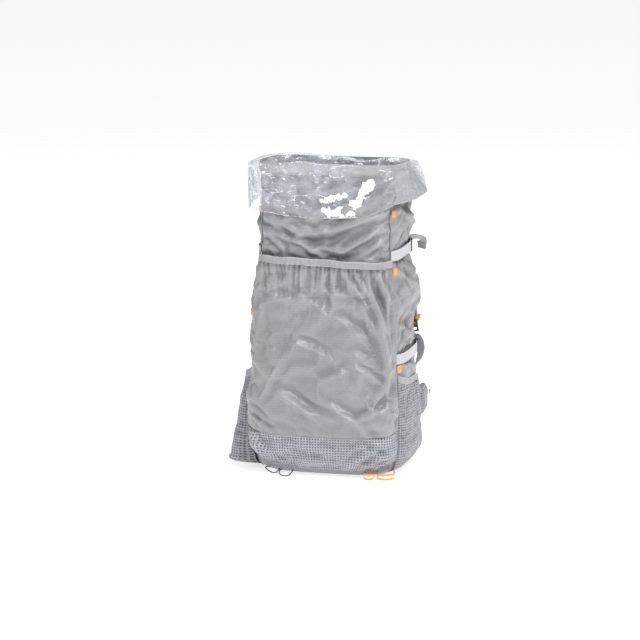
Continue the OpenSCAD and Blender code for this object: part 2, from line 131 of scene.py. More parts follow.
def distances(points):
    """How far along a line each of its points is."""
    return np.concatenate([[0], np.cumsum(np.linalg.norm(np.diff(points, axis=0), axis=1))])


def mirror(points, side):
    p = np.array(points, float)
    p[..., 0] *= side
    return p


def directions(path, facing):
    """Unit vectors at each point of a path: along it, out of its face and across it."""
    t = unit(np.gradient(path, axis=0))
    f = np.broadcast_to(np.asarray(facing, float), path.shape)
    o = unit(f - t * np.sum(f * t, axis=1, keepdims=True))
    return t, o, np.cross(o, t)


# ---- the bag's outline, as in the CAD model ----
# Rows of height, half width, depth in front and depth behind.
BAG = np.array([
    [0, 118, 88, 84], [8, 134, 100, 96], [30, 146, 110, 104], [90, 152, 114, 106],
    [230, 149, 116, 107], [330, 150, 113, 107], [420, 136, 107, 106], [500, 134, 104, 104],
    [605, 136, 98, 100],
], float)
# The seams, in degrees from the bag's right side.
FRONT_SEAM, BACK_SEAM = 37.2, 45.0
SEAMS = {
    "front_right": 360 - FRONT_SEAM, "front_left": 180 + FRONT_SEAM,
    "back_right": BACK_SEAM, "back_left": 180 - BACK_SEAM,
}
SHELL_TOP, POCKET_TOP = 604, 413.5
# The height at which lengths of cloth round the bag are measured.
GIRTH_Z = 230.0
STRAP_HEIGHTS = {"upper": 428, "lower": 230}


def direction(angle):
    """Cosine and sine of an angle, stretched onto the bag's soft square."""
    c, s = np.cos(np.radians(angle)), np.sin(np.radians(angle))
    r = (c**4 + s**4) ** -0.25
    return c * r, s * r


def turn_of(angle):
    """The CAD model's turn at an angle."""
    c, s = direction(angle)
    return np.degrees(np.arctan2(np.sign(s) * s**2, np.sign(c) * c**2)) % 360


def bag(angle, z, out=0.0):
    """Points on the bag's outline, or a distance out from it."""
    c, s = direction(angle)
    half = curve(BAG[:, [0, 1]], z)
    deep = np.where(s < 0, curve(BAG[:, [0, 2]], z), curve(BAG[:, [0, 3]], z))
    return together((half + out) * c, (deep + out) * s, z)


def plump(turn, middle, half):
    """1 in the middle of a pocket and 0 at its edges, nearly level between."""
    return 1 - np.minimum(1, np.abs(turn - middle) / half) ** 3


# ---- folds and noise ----
def field(points, size, seed=0, octaves=3):
    """Noise at points, its features about size across, from about -1 to 1."""
    shift = Vector((7.3 * seed, 3.1 * seed, 5.7 * seed))
    flat = (np.asarray(points, float) / np.asarray(size, float)).reshape(-1, 3)
    values = [noise.fractal(Vector(p) + shift, 1.0, 2.0, octaves) for p in flat]
    return np.array(values).reshape(np.shape(points)[:-1])


def creases(points, size, seed=0):
    """Smooth facets that meet in sharp ridges, as thin coated cloth folds: 0.2 on a ridge."""
    return 0.2 - np.abs(field(points, size, seed, 2))


def drags(across, height, slope, long, short, seed):
    """Sharp folds that all run one way: they rise by slope for each step across."""
    size = math.hypot(1, slope)
    along, side = (across + slope * height) / size, (height - slope * across) / size
    return creases(together(along / long, side / short, 0 * along), 1.0, seed)


def folds(across, height, rows):
    """Long soft folds. A row is start, end, width and rise, on (across, height)."""
    total = np.zeros(np.broadcast(across, height).shape)
    for x0, z0, x1, z1, width, rise in rows:
        length = math.hypot(x1 - x0, z1 - z0)
        dx, dz = (x1 - x0) / length, (z1 - z0) / length
        along = ((across - x0) * dx + (height - z0) * dz) / length
        side = -(across - x0) * dz + (height - z0) * dx
        side = side + 0.12 * length * (along - 0.5) ** 2
        fade = ease(-0.12, 0.3, along) * ease(1.15, 0.65, along)
        total += rise * fade * (
            np.exp(-np.abs(side / width) ** 1.5) - 0.55 * bell(side, 1.9 * width, 1.1 * width)
        )
    return total


# ---- meshes ----
def normals(grid):
    """Unit normals of a grid of points, towards the outside of the bag."""
    return unit(np.cross(np.gradient(grid, axis=0), np.gradient(grid, axis=1)))


def mesh_object(name, verts, faces, weave=None):
    """A smooth mesh. weave holds each vertex's place on its cloth."""
    mesh = bpy.data.meshes.new(name)
    mesh.from_pydata((np.asarray(verts) * 0.001).tolist(), [], faces)
    mesh.polygons.foreach_set("use_smooth", [True] * len(mesh.polygons))
    if weave is not None:
        attribute = mesh.attributes.new("weave", "FLOAT_VECTOR", "POINT")
        full = np.zeros((len(verts), 3), np.float32)
        full[:, :2] = np.asarray(weave).reshape(-1, 2)
        attribute.data.foreach_set("vector", full.ravel())
    obj = bpy.data.objects.new(name, mesh)
    scene.collection.objects.link(obj)
    return obj


def cloth_place(grid):
    """Distances along both ways of a grid, measured on it."""
    s = np.linalg.norm(np.diff(grid, axis=0), axis=-1)
    t = np.linalg.norm(np.diff(grid, axis=1), axis=-1)
    s = np.vstack([np.zeros(grid.shape[1]), np.cumsum(s, axis=0)])
    t = np.hstack([np.zeros((grid.shape[0], 1)), np.cumsum(t, axis=1)])
    return together(s.mean(1, keepdims=True), t)


def grid_object(name, grid, weave=None):
    """A sheet through a grid of points. Its weave is measured on it unless it is given."""
    rows, cols = grid.shape[:2]
    weave = cloth_place(grid) if weave is None else weave
    faces = [
        [i * cols + k, (i + 1) * cols + k, (i + 1) * cols + k + 1, i * cols + k + 1]
        for i in range(rows - 1) for k in range(cols - 1)
    ]
    return mesh_object(name, grid.reshape(-1, 3), faces, weave)


def put(obj, name, values):
    """Keeps one number for each vertex of a mesh, for its material to read."""
    attribute = obj.data.attributes.new(name, "FLOAT", "POINT")
    attribute.data.foreach_set("value", np.asarray(values, np.float32).ravel())


def above_mean(grid, passes=36):
    """How far a grid's points stand above the smoothed grid."""
    smooth = grid.copy()
    for _ in range(passes):
        p = np.pad(smooth, ((1, 1), (1, 1), (0, 0)), "edge")
        smooth = (p[:-2, 1:-1] + p[2:, 1:-1] + p[1:-1, :-2] + p[1:-1, 2:] + 4 * smooth) / 8
    return np.sum((grid - smooth) * normals(smooth), axis=-1)


def mark_painted_shade(obj, grid, plain, depth=2.0, shade=0.0):
    """Marks where cloth lies lower than round it, for painted shade: 1 at the bottom of a fold,
    below 0 on its ridge for a painted highlight; shade adds more painted shade everywhere.
    """
    put(obj, "painted_shade", np.clip((above_mean(plain) - above_mean(grid)) / depth, -0.4, 1) + shade)


def thicken(obj, thick, offset=-1.0, levels=1):
    """Smooths a sheet and gives it its thickness."""
    if levels:
        m = obj.modifiers.new("Subdivision", "SUBSURF")
        m.levels = m.render_levels = levels
    m = obj.modifiers.new("Solidify", "SOLIDIFY")
    m.thickness, m.offset = thick * 0.001, offset
    return obj


def coordinates(obj):
    """A mesh's vertices, in metres."""
    co = np.empty(len(obj.data.vertices) * 3)
    obj.data.vertices.foreach_get("co", co)
    return co.reshape(-1, 3)


def settle(obj, pins, pressure=0.0, grow=0.0, frames=18, cap=6.0, bend=0.4, stiff=12):
    """Runs cloth on a mesh and keeps the result, no point moving more than cap."""
    pins = np.round(np.ravel(pins), 2)
    group = obj.vertex_groups.new(name="pins")
    for value in np.unique(pins[pins > 0]):
        group.add(np.flatnonzero(pins == value).tolist(), float(value), "REPLACE")
    m = obj.modifiers.new("Cloth", "CLOTH")
    s = m.settings
    s.quality, s.mass, s.air_damping = 5, 0.15, 4
    s.tension_stiffness = s.compression_stiffness = s.shear_stiffness = stiff
    s.bending_stiffness = bend
    s.tension_damping = s.compression_damping = s.shear_damping = 12
    s.bending_damping = 2
    s.use_pressure, s.uniform_pressure_force = bool(pressure), pressure
    s.shrink_min = -grow
    s.effector_weights.gravity = 0
    if pins.any():
        s.vertex_group_mass = "pins"
    m.collision_settings.use_collision = False
    m.point_cache.frame_start, m.point_cache.frame_end = 1, frames
    before = coordinates(obj)
    for f in range(1, frames + 1):
        scene.frame_set(f)
    move = coordinates(obj.evaluated_get(bpy.context.evaluated_depsgraph_get())) - before
    obj.modifiers.remove(m)
    scene.frame_set(1)
    far, most = np.linalg.norm(move, axis=1, keepdims=True), cap * 0.001
    move *= most * np.tanh(far / most) / np.maximum(far, 1e-9)
    obj.data.vertices.foreach_set("co", (before + move).ravel())
    obj.vertex_groups.clear()
    obj.data.update()


def ribbon(name, path, width, facing, thick=1.5, steps=0, across=5, crown=0.0):
    """Flat webbing along a path. width is one number, or one for each point."""
    p = spline(path, steps) if steps else np.array(path, float)
    _, o, a = directions(p, facing)
    w = np.broadcast_to(np.asarray(width, float), len(p))
    u = np.linspace(-1, 1, across)
    grid = (
        p[:, None] + a[:, None] * (u[None, :, None] * w[:, None, None] / 2)
        + o[:, None] * (crown * (1 - u**2))[None, :, None]
    )
    weave = together(distances(p)[:, None], u[None, :] * w[:, None] / 2)
    return thicken(grid_object(name, grid, weave), thick, 0.0)


def sweep(name, path, half_across, half_out, facing, rings=20, square=2.6, domes=None):
    """Rounded solid swept along a path. domes says how far its two ends reach past the path."""
    domes = domes or (0.7 * half_out[0], 0.7 * half_out[-1])
    dome_rings = 4
    t, o, a = directions(path, facing)
    angle = np.linspace(0, 2 * np.pi, rings, endpoint=False)
    c, s = np.cos(angle), np.sin(angle)
    c, s = np.sign(c) * np.abs(c) ** (2 / square), np.sign(s) * np.abs(s) ** (2 / square)
    verts = np.vstack([
        path[i] + np.outer(c * half_across[i], a[i]) + np.outer(s * half_out[i], o[i])
        for i in range(len(path))
    ])

    def lace(one, other):
        """Faces between two rings of vertex numbers."""
        pairs = zip(one, other, np.roll(other, -1).tolist(), np.roll(one, -1).tolist())
        return [list(quad) for quad in pairs]

    ring = [list(range(i * rings, (i + 1) * rings)) for i in range(len(path))]
    faces = [face for i in range(len(path) - 1) for face in lace(ring[i], ring[i + 1])]
    for i, sign, reach in ((0, -1, domes[0]), (-1, 1, domes[1])):
        rim, last = verts[ring[i]] - path[i], ring[i]
        for k in range(1, dome_rings):
            turn = k / dome_rings * math.pi / 2
            new = path[i] + rim * math.cos(turn) + sign * t[i] * reach * math.sin(turn)
            following = list(range(len(verts), len(verts) + rings))
            verts = np.vstack([verts, new])
            faces += lace(last, following)
            last = following
        tip = len(verts)
        verts = np.vstack([verts, path[i] + sign * t[i] * reach])
        faces += [[*pair[::sign], tip] for pair in zip(last, last[1:] + last[:1])]
    return mesh_object(name, verts, faces)


def pad_plate(name, middle, width, height, thick, radius, crown=1.0):
    """Crowned plate in XZ with round corners, centred at middle, for pads on the back."""
    corner_steps, edge_rings, face_rings, spacing = 10, 9, 6, 8
    corners = [
        [sx * (width / 2 - radius) + radius * math.cos(turn),
         sz * (height / 2 - radius) + radius * math.sin(turn)]
        for sx, sz, start in ((1, 1, 0), (-1, 1, 90), (-1, -1, 180), (1, -1, 270))
        for turn in np.radians(start + 90 * np.arange(corner_steps + 1) / corner_steps)
    ]
    outline = []
    for q, r in zip(corners, corners[1:] + corners[:1]):
        parts = max(1, round(math.dist(q, r) / spacing))
        outline += [
            [q[0] + (r[0] - q[0]) * j / parts, q[1] + (r[1] - q[1]) * j / parts]
            for j in range(parts)
        ]
    outline = np.array(outline)
    count = len(outline)
    edge = min(thick / 2, radius * 0.8)
    verts, faces = [], []

    def add_ring(inset, shrink, y):
        """One ring of the plate; gives its vertices' numbers."""
        scale = [(1 - inset / (width / 2)) * shrink, (1 - inset / (height / 2)) * shrink]
        verts.extend([middle[0] + q[0], middle[1] + y, middle[2] + q[1]] for q in outline * scale)
        return list(range(len(verts) - count, len(verts)))

    def lace(one, other, way):
        """Faces between two rings, turned over if way is -1."""
        following = zip(one, one[1:] + one[:1], other[1:] + other[:1], other)
        faces.extend(list(quad)[::way] for quad in following)

    layers = []
    for turn in np.pi * (np.arange(edge_rings) / (edge_rings - 1) - 0.5):
        inset, y = edge * (1 - math.cos(turn)), thick / 2 * math.sin(turn)
        layers.append((add_ring(inset, 1, y), inset, y))
    for lower, upper in zip(layers, layers[1:]):
        lace(lower[0], upper[0], 1)
    for (ring, inset, y), sign in ((layers[0], -1), (layers[-1], 1)):
        for step in range(1, face_rings):
            shrink = 1 - step / face_rings
            inner = add_ring(inset, shrink, y + crown * sign * (1 - shrink**2))
            lace(ring, inner, sign)
            ring = inner
        verts.append([middle[0], middle[1] + y + crown * sign, middle[2]])
        faces += [[*pair, len(verts) - 1][::sign] for pair in zip(ring, ring[1:] + ring[:1])]
    return mesh_object(name, verts, faces)


def puff(obj, voxel, pressure, cap):
    """Swells a closed pad with cloth under pressure."""
    m = obj.modifiers.new("Remesh", "REMESH")
    m.mode, m.voxel_size = "VOXEL", voxel * 0.001
    m = obj.modifiers.new("Smooth", "SMOOTH")
    m.factor, m.iterations = 0.5, 8
    posed = obj.evaluated_get(bpy.context.evaluated_depsgraph_get())
    mesh = bpy.data.meshes.new_from_object(posed)
    obj.modifiers.clear()
    obj.data = mesh
    mesh.polygons.foreach_set("use_smooth", [True] * len(mesh.polygons))
    settle(obj, np.zeros(len(mesh.vertices)), pressure, frames=20, cap=cap, bend=0.5, stiff=15)
    m = obj.modifiers.new("Subdivision", "SUBSURF")
    m.levels = m.render_levels = 1
    return obj


# ---- materials ----
class Value:
    """A number or colour that a node gives. Arithmetic on it adds nodes; | is the greater."""

    def __init__(self, material, socket):
        self.material, self.socket = material, socket

    def clamped(self):
        """Holds the last sum or product between 0 and 1."""
        self.socket.node.use_clamp = True
        return self


for sign, operation in {
    "add": "ADD", "sub": "SUBTRACT", "mul": "MULTIPLY", "truediv": "DIVIDE", "pow": "POWER",
    "or": "MAXIMUM", "abs": "ABSOLUTE",
}.items():
    setattr(Value, f"__{sign}__", lambda *values, o=operation: values[0].material.math(o, *values))


class Material:
    """A Principled material whose nodes are added one call at a time."""

    def __init__(self, name, **fixed):
        self.material = bpy.data.materials.new(name)
        self.material.use_nodes = True
        self.tree = self.material.node_tree
        self.tree.nodes.clear()
        fixed = {key.replace("_", " "): value for key, value in fixed.items()}
        self.bsdf = self.add("BsdfPrincipled", fixed)
        self.add("OutputMaterial", {0: Value(self, self.bsdf.outputs[0])})

    def add(self, kind, inputs=(), **properties):
        """A new node. inputs holds values, numbers or colours for its sockets."""
        n = self.tree.nodes.new("ShaderNode" + kind)
        for key, value in properties.items():
            setattr(n, key, value)
        for key, value in dict(inputs).items():
            self.join(value, n.inputs[key])
        return n

    def give(self, kind, inputs=(), output=0, **properties):
        """One output of a new node."""
        return Value(self, self.add(kind, inputs, **properties).outputs[output])

    def join(self, value, socket):
        """Links a value to a socket, or sets the socket to a plain number or colour."""
        if isinstance(value, Value):
            self.tree.links.new(value.socket, socket)
        else:
            socket.default_value = (*value, 1) if socket.type == "RGBA" else value

    def math(self, operation, *values):
        return self.give("Math", enumerate(values), operation=operation)

    def parts(self, vector):
        return [Value(self, part) for part in self.add("SeparateXYZ", {0: vector}).outputs]

    def mark(self, name):
        """A number kept for each vertex."""
        return self.give("Attribute", output="Fac", attribute_name=name)

    def cloth(self):
        """Place on the cloth in millimetres, and its two distances."""
        place = self.give("Attribute", output="Vector", attribute_name="weave")
        return [place, *self.parts(place)[:2]]

    def space(self):
        """Object coordinates in millimetres, and their three parts."""
        metres = self.give("TexCoord", output="Object")
        place = self.give("VectorMath", {0: metres, "Scale": 1000}, operation="SCALE")
        return [place, *self.parts(place)]

    def noise(self, vector, size, detail=3.0, rough=0.55, stretch=(1, 1, 1)):
        """Noise from 0 to 1 with features size millimetres across."""
        scale = [1 / (size * k) for k in stretch]
        place = self.give("VectorMath", {0: vector, 1: scale}, operation="MULTIPLY")
        return self.give(
            "TexNoise", {"Vector": place, "Scale": 1.0, "Detail": detail, "Roughness": rough})

    def wave(self, x, pitch):
        """A sine along x, from 0 to 1."""
        return self.math("SINE", x * (2 * math.pi / pitch)) * 0.5 + 0.5

    def saw(self, x, pitch):
        """Distance from the nearest multiple of pitch, from 0 to 0.5 pitches."""
        return self.math("PINGPONG", x / pitch, 0.5)

    def step(self, x, low, high):
        """0 below low, 1 above high and smooth between. It falls if low is the greater."""
        span = {"Value": x, "From Min": low, "From Max": high}
        return self.give("MapRange", span, interpolation_type="SMOOTHSTEP")

    def mix(self, factor, a, b):
        return self.give("Mix", {"Factor": factor, "A": a, "B": b}, "Result", data_type="RGBA")

    def brightness(self, colour, value):
        return self.give("HueSaturation", {"Value": value, "Color": colour})

    def vary(self, colour, factor, amount):
        """Makes a colour lighter and darker by amount as factor goes from 1 to 0."""
        return self.brightness(colour, factor * (2 * amount) + (1 - amount))

    def paint_fold_shade(self, colour, amount):
        """Paints shade into cloth in the hollows of its folds and paints a highlight on their
        ridges.
        """
        return self.brightness(colour, self.mark("painted_shade") * -amount + 1.0)

    def colour(self, value):
        self.join(value, self.bsdf.inputs["Base Color"])

    def rough(self, value):
        self.join(value, self.bsdf.inputs["Roughness"])

    def bump(self, *layers):
        """Layers of (height from 0 to 1, depth in millimetres), one on top of the other."""
        below = {}
        for height, depth in layers:
            inputs = {"Strength": 1.0, "Distance": depth * 0.001, "Height": height, **below}
            below = {"Normal": self.give("Bump", inputs)}
        self.join(below["Normal"], self.bsdf.inputs["Normal"])


def ripstop(name, light, dark):
    """Thin coated nylon: fine plain weave, a faint grid of thicker threads, soft creases, painted
    shade in their hollows and a painted highlight on their ridges.
    """
    m = Material(name, Sheen_Weight=0.08, Sheen_Roughness=0.4, Specular_IOR_Level=0.6)
    place, s, t = m.cloth()
    rows = m.step(m.saw(t, 3.9), 0.10, 0.02)
    grid = m.step(m.saw(t, GRID_PITCH), 0.07, 0.0) | m.step(m.saw(s, GRID_PITCH), 0.06, 0.0) * 0.5
    lines = rows * 0.35 + grid * 0.65
    broad, fine = m.noise(place, 55, 3), m.noise(place, 7, 4, 0.6)
    base = m.mix((lines * 0.55 + broad * 0.4).clamped(), dark, light)
    # Painted shade in the hollows of folds and a painted highlight on their ridges.
    m.colour(m.paint_fold_shade(m.vary(base, fine, 0.06), 0.34))
    m.rough(broad * 0.12 + 0.34)
    weave = m.wave(s, 0.9) * m.wave(t, 0.9)
    m.bump((m.noise(place, 16, 4, 0.5), 0.8), (lines, 0.10), (weave, 0.04), (fine, 0.10))
    return m.material


def gridstop(name, light, dark, spatial=False):
    """Tough cloth with a grid of pale threads over dark squares, mapped in space if spatial, with
    painted shade in the hollows of folds and a painted highlight on their ridges.
    """
    m = Material(name, Sheen_Weight=0.1, Specular_IOR_Level=0.4)
    if spatial:
        place, _, s, t = m.space()
    else:
        place, s, t = m.cloth()
    lines = m.step(m.saw(s, GRID_PITCH), 0.27, 0.20) | m.step(m.saw(t, GRID_PITCH), 0.27, 0.20)
    fuzz, twill = m.noise(place, 1.1, 2, 0.7), m.wave(s + t, 1.1)
    base = m.mix((fuzz * 0.2 + lines * 0.85).clamped(), dark, light)
    # Painted shade in the hollows of folds and a painted highlight on their ridges.
    m.colour(m.paint_fold_shade(m.vary(base, m.noise(place, 40, 3), 0.08), 0.30))
    m.rough(lines * 0.1 + 0.45)
    m.bump((m.noise(place, 14, 3, 0.5), 0.5), (lines, 0.2), (twill, 0.06), (fuzz, 0.08))
    return m.material


def elastic(name, light, dark, width):
    """Knitted elastic with a zigzag in its face and a row of stitches at both edges."""
    m = Material(name, Sheen_Weight=0.25, Specular_IOR_Level=0.3)
    place, s, t = m.cloth()
    zigzag = m.step(m.saw(t + m.saw(s, 5.2) * 5.2, 2.9), 0.12, 0.3)
    knit = m.wave(s, 0.8) * m.wave(t, 1.2)
    edge = m.step(abs(t - width / 2), width / 2 - 2.0, width / 2 - 1.2)
    stitches = edge * m.step(m.saw(s, 2.6), 0.12, 0.2)
    base = m.mix((stitches * 0.5 + zigzag * 0.75).clamped(), dark, light)
    m.colour(m.vary(base, m.noise(place, 9, 3), 0.1))
    m.rough(0.68)
    m.bump((zigzag, 0.35), (knit, 0.15), (stitches, 0.3))
    return m.material


def webbing(name, light, dark, width, stripes=None):
    """Woven tape: slanting ribs, firm edges and, if named, coloured stripes along it."""
    m = Material(name, Sheen_Weight=0.3, Specular_IOR_Level=0.35)
    place, s, t = m.cloth()
    ribs = m.wave(s + m.saw(t, 5.0) * 3.0, 1.3)
    away = abs(t)
    edge = m.step(away, width / 2 - 1.4, width / 2 - 0.7)
    base = m.mix((edge * 0.25 + ribs * 0.75).clamped(), dark, light)
    if stripes:
        colour, inner, outer = stripes
        band = m.step(away, inner - 0.4, inner + 0.2) * m.step(away, outer + 0.4, outer - 0.2)
        base = m.mix(band, base, m.vary(colour, ribs, 0.12))
    m.colour(m.vary(base, m.noise(place, 8, 3), 0.12))
    m.rough(ribs * 0.1 + 0.55)
    m.bump((ribs * m.wave(t, 1.6), 0.3), (edge, 0.25), (m.noise(place, 5, 3), 0.15))
    return m.material


def padding(name, light, dark):
    """Cloth drawn over foam: a plain weave mapped in space, with rubbed patches."""
    m = Material(name, Sheen_Weight=0.25, Specular_IOR_Level=0.3)
    place, x, y, z = m.space()
    weave = m.wave(x + y, 1.4) * m.wave(z, 1.4)
    broad = m.noise(place, 30, 4)
    base = m.mix(weave * 0.3 + broad * 0.6, dark, light)
    m.colour(m.vary(base, m.noise(place, 2, 2), 0.08))
    m.rough(broad * 0.15 + 0.55)
    m.bump((m.noise(place, 12, 4), 0.8), (weave, 0.2))
    return m.material


def spacer_mesh(name, light, dark):
    """Thick knitted mesh with rows of open holes."""
    m = Material(name, Sheen_Weight=0.35, Specular_IOR_Level=0.3)
    place, x, y, z = m.space()
    hole_pitch, row_pitch = 3.2, 2.6
    shift = m.math("FLOOR", z / row_pitch) * (hole_pitch / 2)
    holes = m.saw(x + y + shift, hole_pitch) ** 2 + (m.saw(z, row_pitch) - 0.25) ** 2
    solid = m.step(holes, 0.035, 0.07)
    m.colour(m.vary(m.mix(solid, dark, light), m.noise(place, 25, 3), 0.1))
    m.rough(0.7)
    m.bump((m.noise(place, 20, 3), 0.8), (solid, 0.5), (m.noise(place, 0.9, 2), 0.1))
    return m.material


def moulded(name, colour, rough):
    """Moulded plastic with a fine grain and paler, rubbed high spots."""
    m = Material(name, Specular_IOR_Level=0.5)
    place = m.space()[0]
    grain, broad = m.noise(place, 0.7, 3, 0.6), m.noise(place, 9, 4, 0.6)
    pale = [min(1, 3.2 * c + 0.02) for c in colour]
    m.colour(m.mix(m.step(broad, 0.62, 0.8) * 0.35, colour, pale))
    m.rough(broad * 0.2 + (rough - 0.1))
    m.bump((grain, 0.05), (broad, 0.1))
    return m.material


def drawn_tube(name):
    """Anodised aluminium tube with faint lines along it."""
    m = Material(name, Metallic=0.9)
    place = m.space()[0]
    lines = m.noise(place, 0.5, 3, 0.6, (1, 1, 60))
    m.colour(m.mix(m.noise(place, 20, 3), (0.46, 0.47, 0.49), (0.62, 0.63, 0.65)))
    m.rough(lines * 0.2 + 0.25)
    m.bump((lines, 0.02))
    return m.material


def braid(name, colour):
    """Braided cord: two sets of strands that cross, mapped in space."""
    m = Material(name, Sheen_Weight=0.2, Specular_IOR_Level=0.35)
    place, x, y, z = m.space()
    strands = m.wave(x + y + z * 1.7, 1.1) * m.wave(x - y - z * 1.7, 1.1)
    m.colour(m.mix(strands, [0.35 * c for c in colour], [min(1, 1.5 * c) for c in colour]))
    m.rough(strands * 0.15 + 0.5)
    m.bump((strands, 0.25), (m.noise(place, 0.5, 2), 0.05))
    return m.material


def film(name, gloss):
    """Clear film: hazy, with painted highlights along thin creases, painted glints and one broad
    painted reflection of a glossy fold at the front.

    Each row given is a stretch of that painted reflection: its start, end and half width, on (x,
    z).
    """
    m = Material(name, Roughness=0.13, Specular_IOR_Level=0.9, IOR=1.45)
    place = m.cloth()[0]
    where, x, y, z = m.space()
    at_front = m.step(y, -92, -99)
    outer = (m.step(x, 124, 132) | at_front) * m.step(y, 60, 20)
    smooth = outer * m.step(x, 52, 80)
    busy = smooth * -0.9 + 1.0
    swirl = m.noise(where, 24, 2, 0.55, (1.7, 1.7, 0.75))
    fine = m.noise(where, 8, 3, 0.6, (1.6, 1.6, 0.7))
    # Thin streaks of painted highlight along the creases, then painted glints.
    streak_highlight = m.step(abs(swirl - 0.5), 0.020, 0.003) * busy
    streak_highlight = streak_highlight * m.step(m.noise(where, 13, 3, 0.6), 0.44, 0.60)
    glint = m.step(fine, 0.655, 0.70) * busy
    wobble = m.noise(where, 12, 4, 0.6) * 34 - 17
    # One broad painted reflection, built from the stretches given.
    glare = at_front * 0.0
    for x0, z0, x1, z1, wide in gloss:
        length = math.hypot(x1 - x0, z1 - z0)
        dx, dz = (x1 - x0) / length, (z1 - z0) / length
        along = (x - x0) * dx + (z - z0) * dz
        side = (z - z0) * dx - (x - x0) * dz
        past = along - m.math("MINIMUM", along | 0.0, length)
        away = (side * side + past * past) ** 0.5 + wobble
        glare = glare | m.step(away, wide + 1.5, wide - 1.5)
    glare = glare * at_front
    cover = m.give("LayerWeight", {"Blend": 0.35}, "Facing") * 0.35 + 0.17
    cover = cover + outer * m.step(x, 80, 150) * 0.45 + m.step(m.mark("from_hem"), 0.6, 1.0) * 0.45
    cover = cover + m.step(m.noise(where, 26, 2, 0.5), 0.42, 0.62) * busy * 0.22
    # Painted highlights also make the film less clear where they lie.
    cover = cover + streak_highlight * 0.45 + glint * 0.35 + glare * 0.75
    m.join(cover.clamped(), m.bsdf.inputs["Alpha"])
    haze = m.mix(smooth, (0.60, 0.63, 0.70), (0.36, 0.37, 0.40))
    # Painted highlights in white over the haze.
    m.colour(m.mix(glare | streak_highlight | glint, haze, (1.0, 1.0, 1.0)))
    m.bump((swirl, 2.0), (fine, 1.0), (m.noise(place, 3.2, 3, 0.6), 0.2))
    return m.material


GRID_PITCH = 5.2
ORANGE = (0.95, 0.33, 0.04)
GRID_DARK, RIB_DARK = (0.05, 0.05, 0.065), (0.20, 0.20, 0.21)
# Painted reflection of a glossy fold on the film, in stretches.
FILM_GLARE = ((94, 572, 62, 524, 9), (60, 517, 6, 512, 7), (6, 536, 44, 546, 5))
# Each look's material, and the record's material slot that it stands for.
LOOKS = {
    "ripstop": (ripstop("ripstop_cloth", (0.33, 0.33, 0.342), (0.19, 0.19, 0.20)), "ripstop_grey"),
    "gridstop": (gridstop("gridstop_cloth", (0.33, 0.33, 0.365), GRID_DARK), "gridstop_grey"),
    "pouch": (gridstop("pouch_cloth", (0.27, 0.27, 0.30), GRID_DARK, True), "gridstop_grey"),
    "elastic": (
        elastic("elastic_band", (0.56, 0.56, 0.58), (0.12, 0.12, 0.13), 13), "elastic_grey"),
    "light": (webbing("pale_webbing", (0.58, 0.58, 0.60), (0.36, 0.36, 0.38), 20), "webbing_light"),
    "grey": (webbing("grey_webbing", (0.42, 0.42, 0.44), RIB_DARK, 20), "webbing_grey"),
    "grey34": (
        webbing("wide_grey_webbing", (0.34, 0.34, 0.36), (0.15, 0.15, 0.16), 34), "webbing_grey"),
    "orange": (webbing("orange_tape", (1.0, 0.42, 0.07), (0.80, 0.24, 0.02), 14), "tape_orange"),
    "striped": (
        webbing("striped_tape", (0.90, 0.90, 0.88), (0.62, 0.62, 0.60), 11, (ORANGE, 2.4, 5.6)),
        "tape_striped"),
    "seam": (webbing("seam_tape", (0.17, 0.17, 0.18), (0.07, 0.07, 0.075), 3), "webbing_grey"),
    "binding": (
        webbing("binding_tape", (0.44, 0.44, 0.46), (0.24, 0.24, 0.25), 12), "webbing_grey"),
    "padding": (padding("pad_cloth", (0.17, 0.17, 0.18), (0.09, 0.09, 0.095)), "padding_grey"),
    "mesh": (spacer_mesh("spacer_mesh", (0.30, 0.30, 0.32), (0.03, 0.03, 0.032)), "mesh_grey"),
    "black": (moulded("black_acetal", (0.022, 0.022, 0.024), 0.42), "plastic_black"),
    "tube": (drawn_tube("aluminium_tube"), "tube_aluminium"),
    "cord": (braid("braided_cord", (0.16, 0.16, 0.17)), "cord_black"),
    "film": (film("clear_film", FILM_GLARE), "film_clear"),
}


def finish_piece(obj, look, *nodes, body=None):
    """Gives a piece its material, and the body of the CAD nodes that it stands for."""
    material, slot = LOOKS[look]
    obj.data.materials.clear()
    obj.data.materials.append(material)
    if nodes:
        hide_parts(*nodes)
    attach(obj, body or BODY[nodes[0]])
    return obj


# ---- cords ----
for name, points in {
    "pole_cord_outer": [
        [-107, -92.5, 10], [-111, -101, 11], [-110, -110, 11], [-104, -117, 9],
        [-96, -119.5, 5.5], [-89, -116, 4], [-85.5, -109, 7], [-84, -101.5, 9.5]],
    "pole_cord_inner": [
        [-79, -103, 9], [-82, -110, 7], [-81, -118, 4], [-75, -125, 2.4], [-67, -126, 1.8],
        [-61, -120, 2.2], [-58, -111, 6], [-57.5, -104, 9]],
}.items():
    line = spline(points, 4) * 0.001
    data = bpy.data.curves.new(name + "_loop", "CURVE")
    data.dimensions, data.bevel_depth, data.bevel_resolution = "3D", 0.0013, 4
    data.use_fill_caps = True
    path = data.splines.new("POLY")
    path.points.add(len(line) - 1)
    path.points.foreach_set("co", np.hstack([line, np.ones((len(line), 1))]).ravel())
    path.use_smooth = True
    loop = bpy.data.objects.new(name + "_loop", data)
    scene.collection.objects.link(loop)
    finish_piece(loop, "cord", name)

# ---- bag ----
angles = np.linspace(SEAMS["back_left"], SEAMS["back_left"] + 360, 241)[:, None]
heights = np.concatenate([[3, 5, 8, 12], np.arange(17, SHELL_TOP, 4.3), [SHELL_TOP]])[None, :]
turn = angles % 360
shell = bag(angles, heights)
plain_shell = shell.copy()


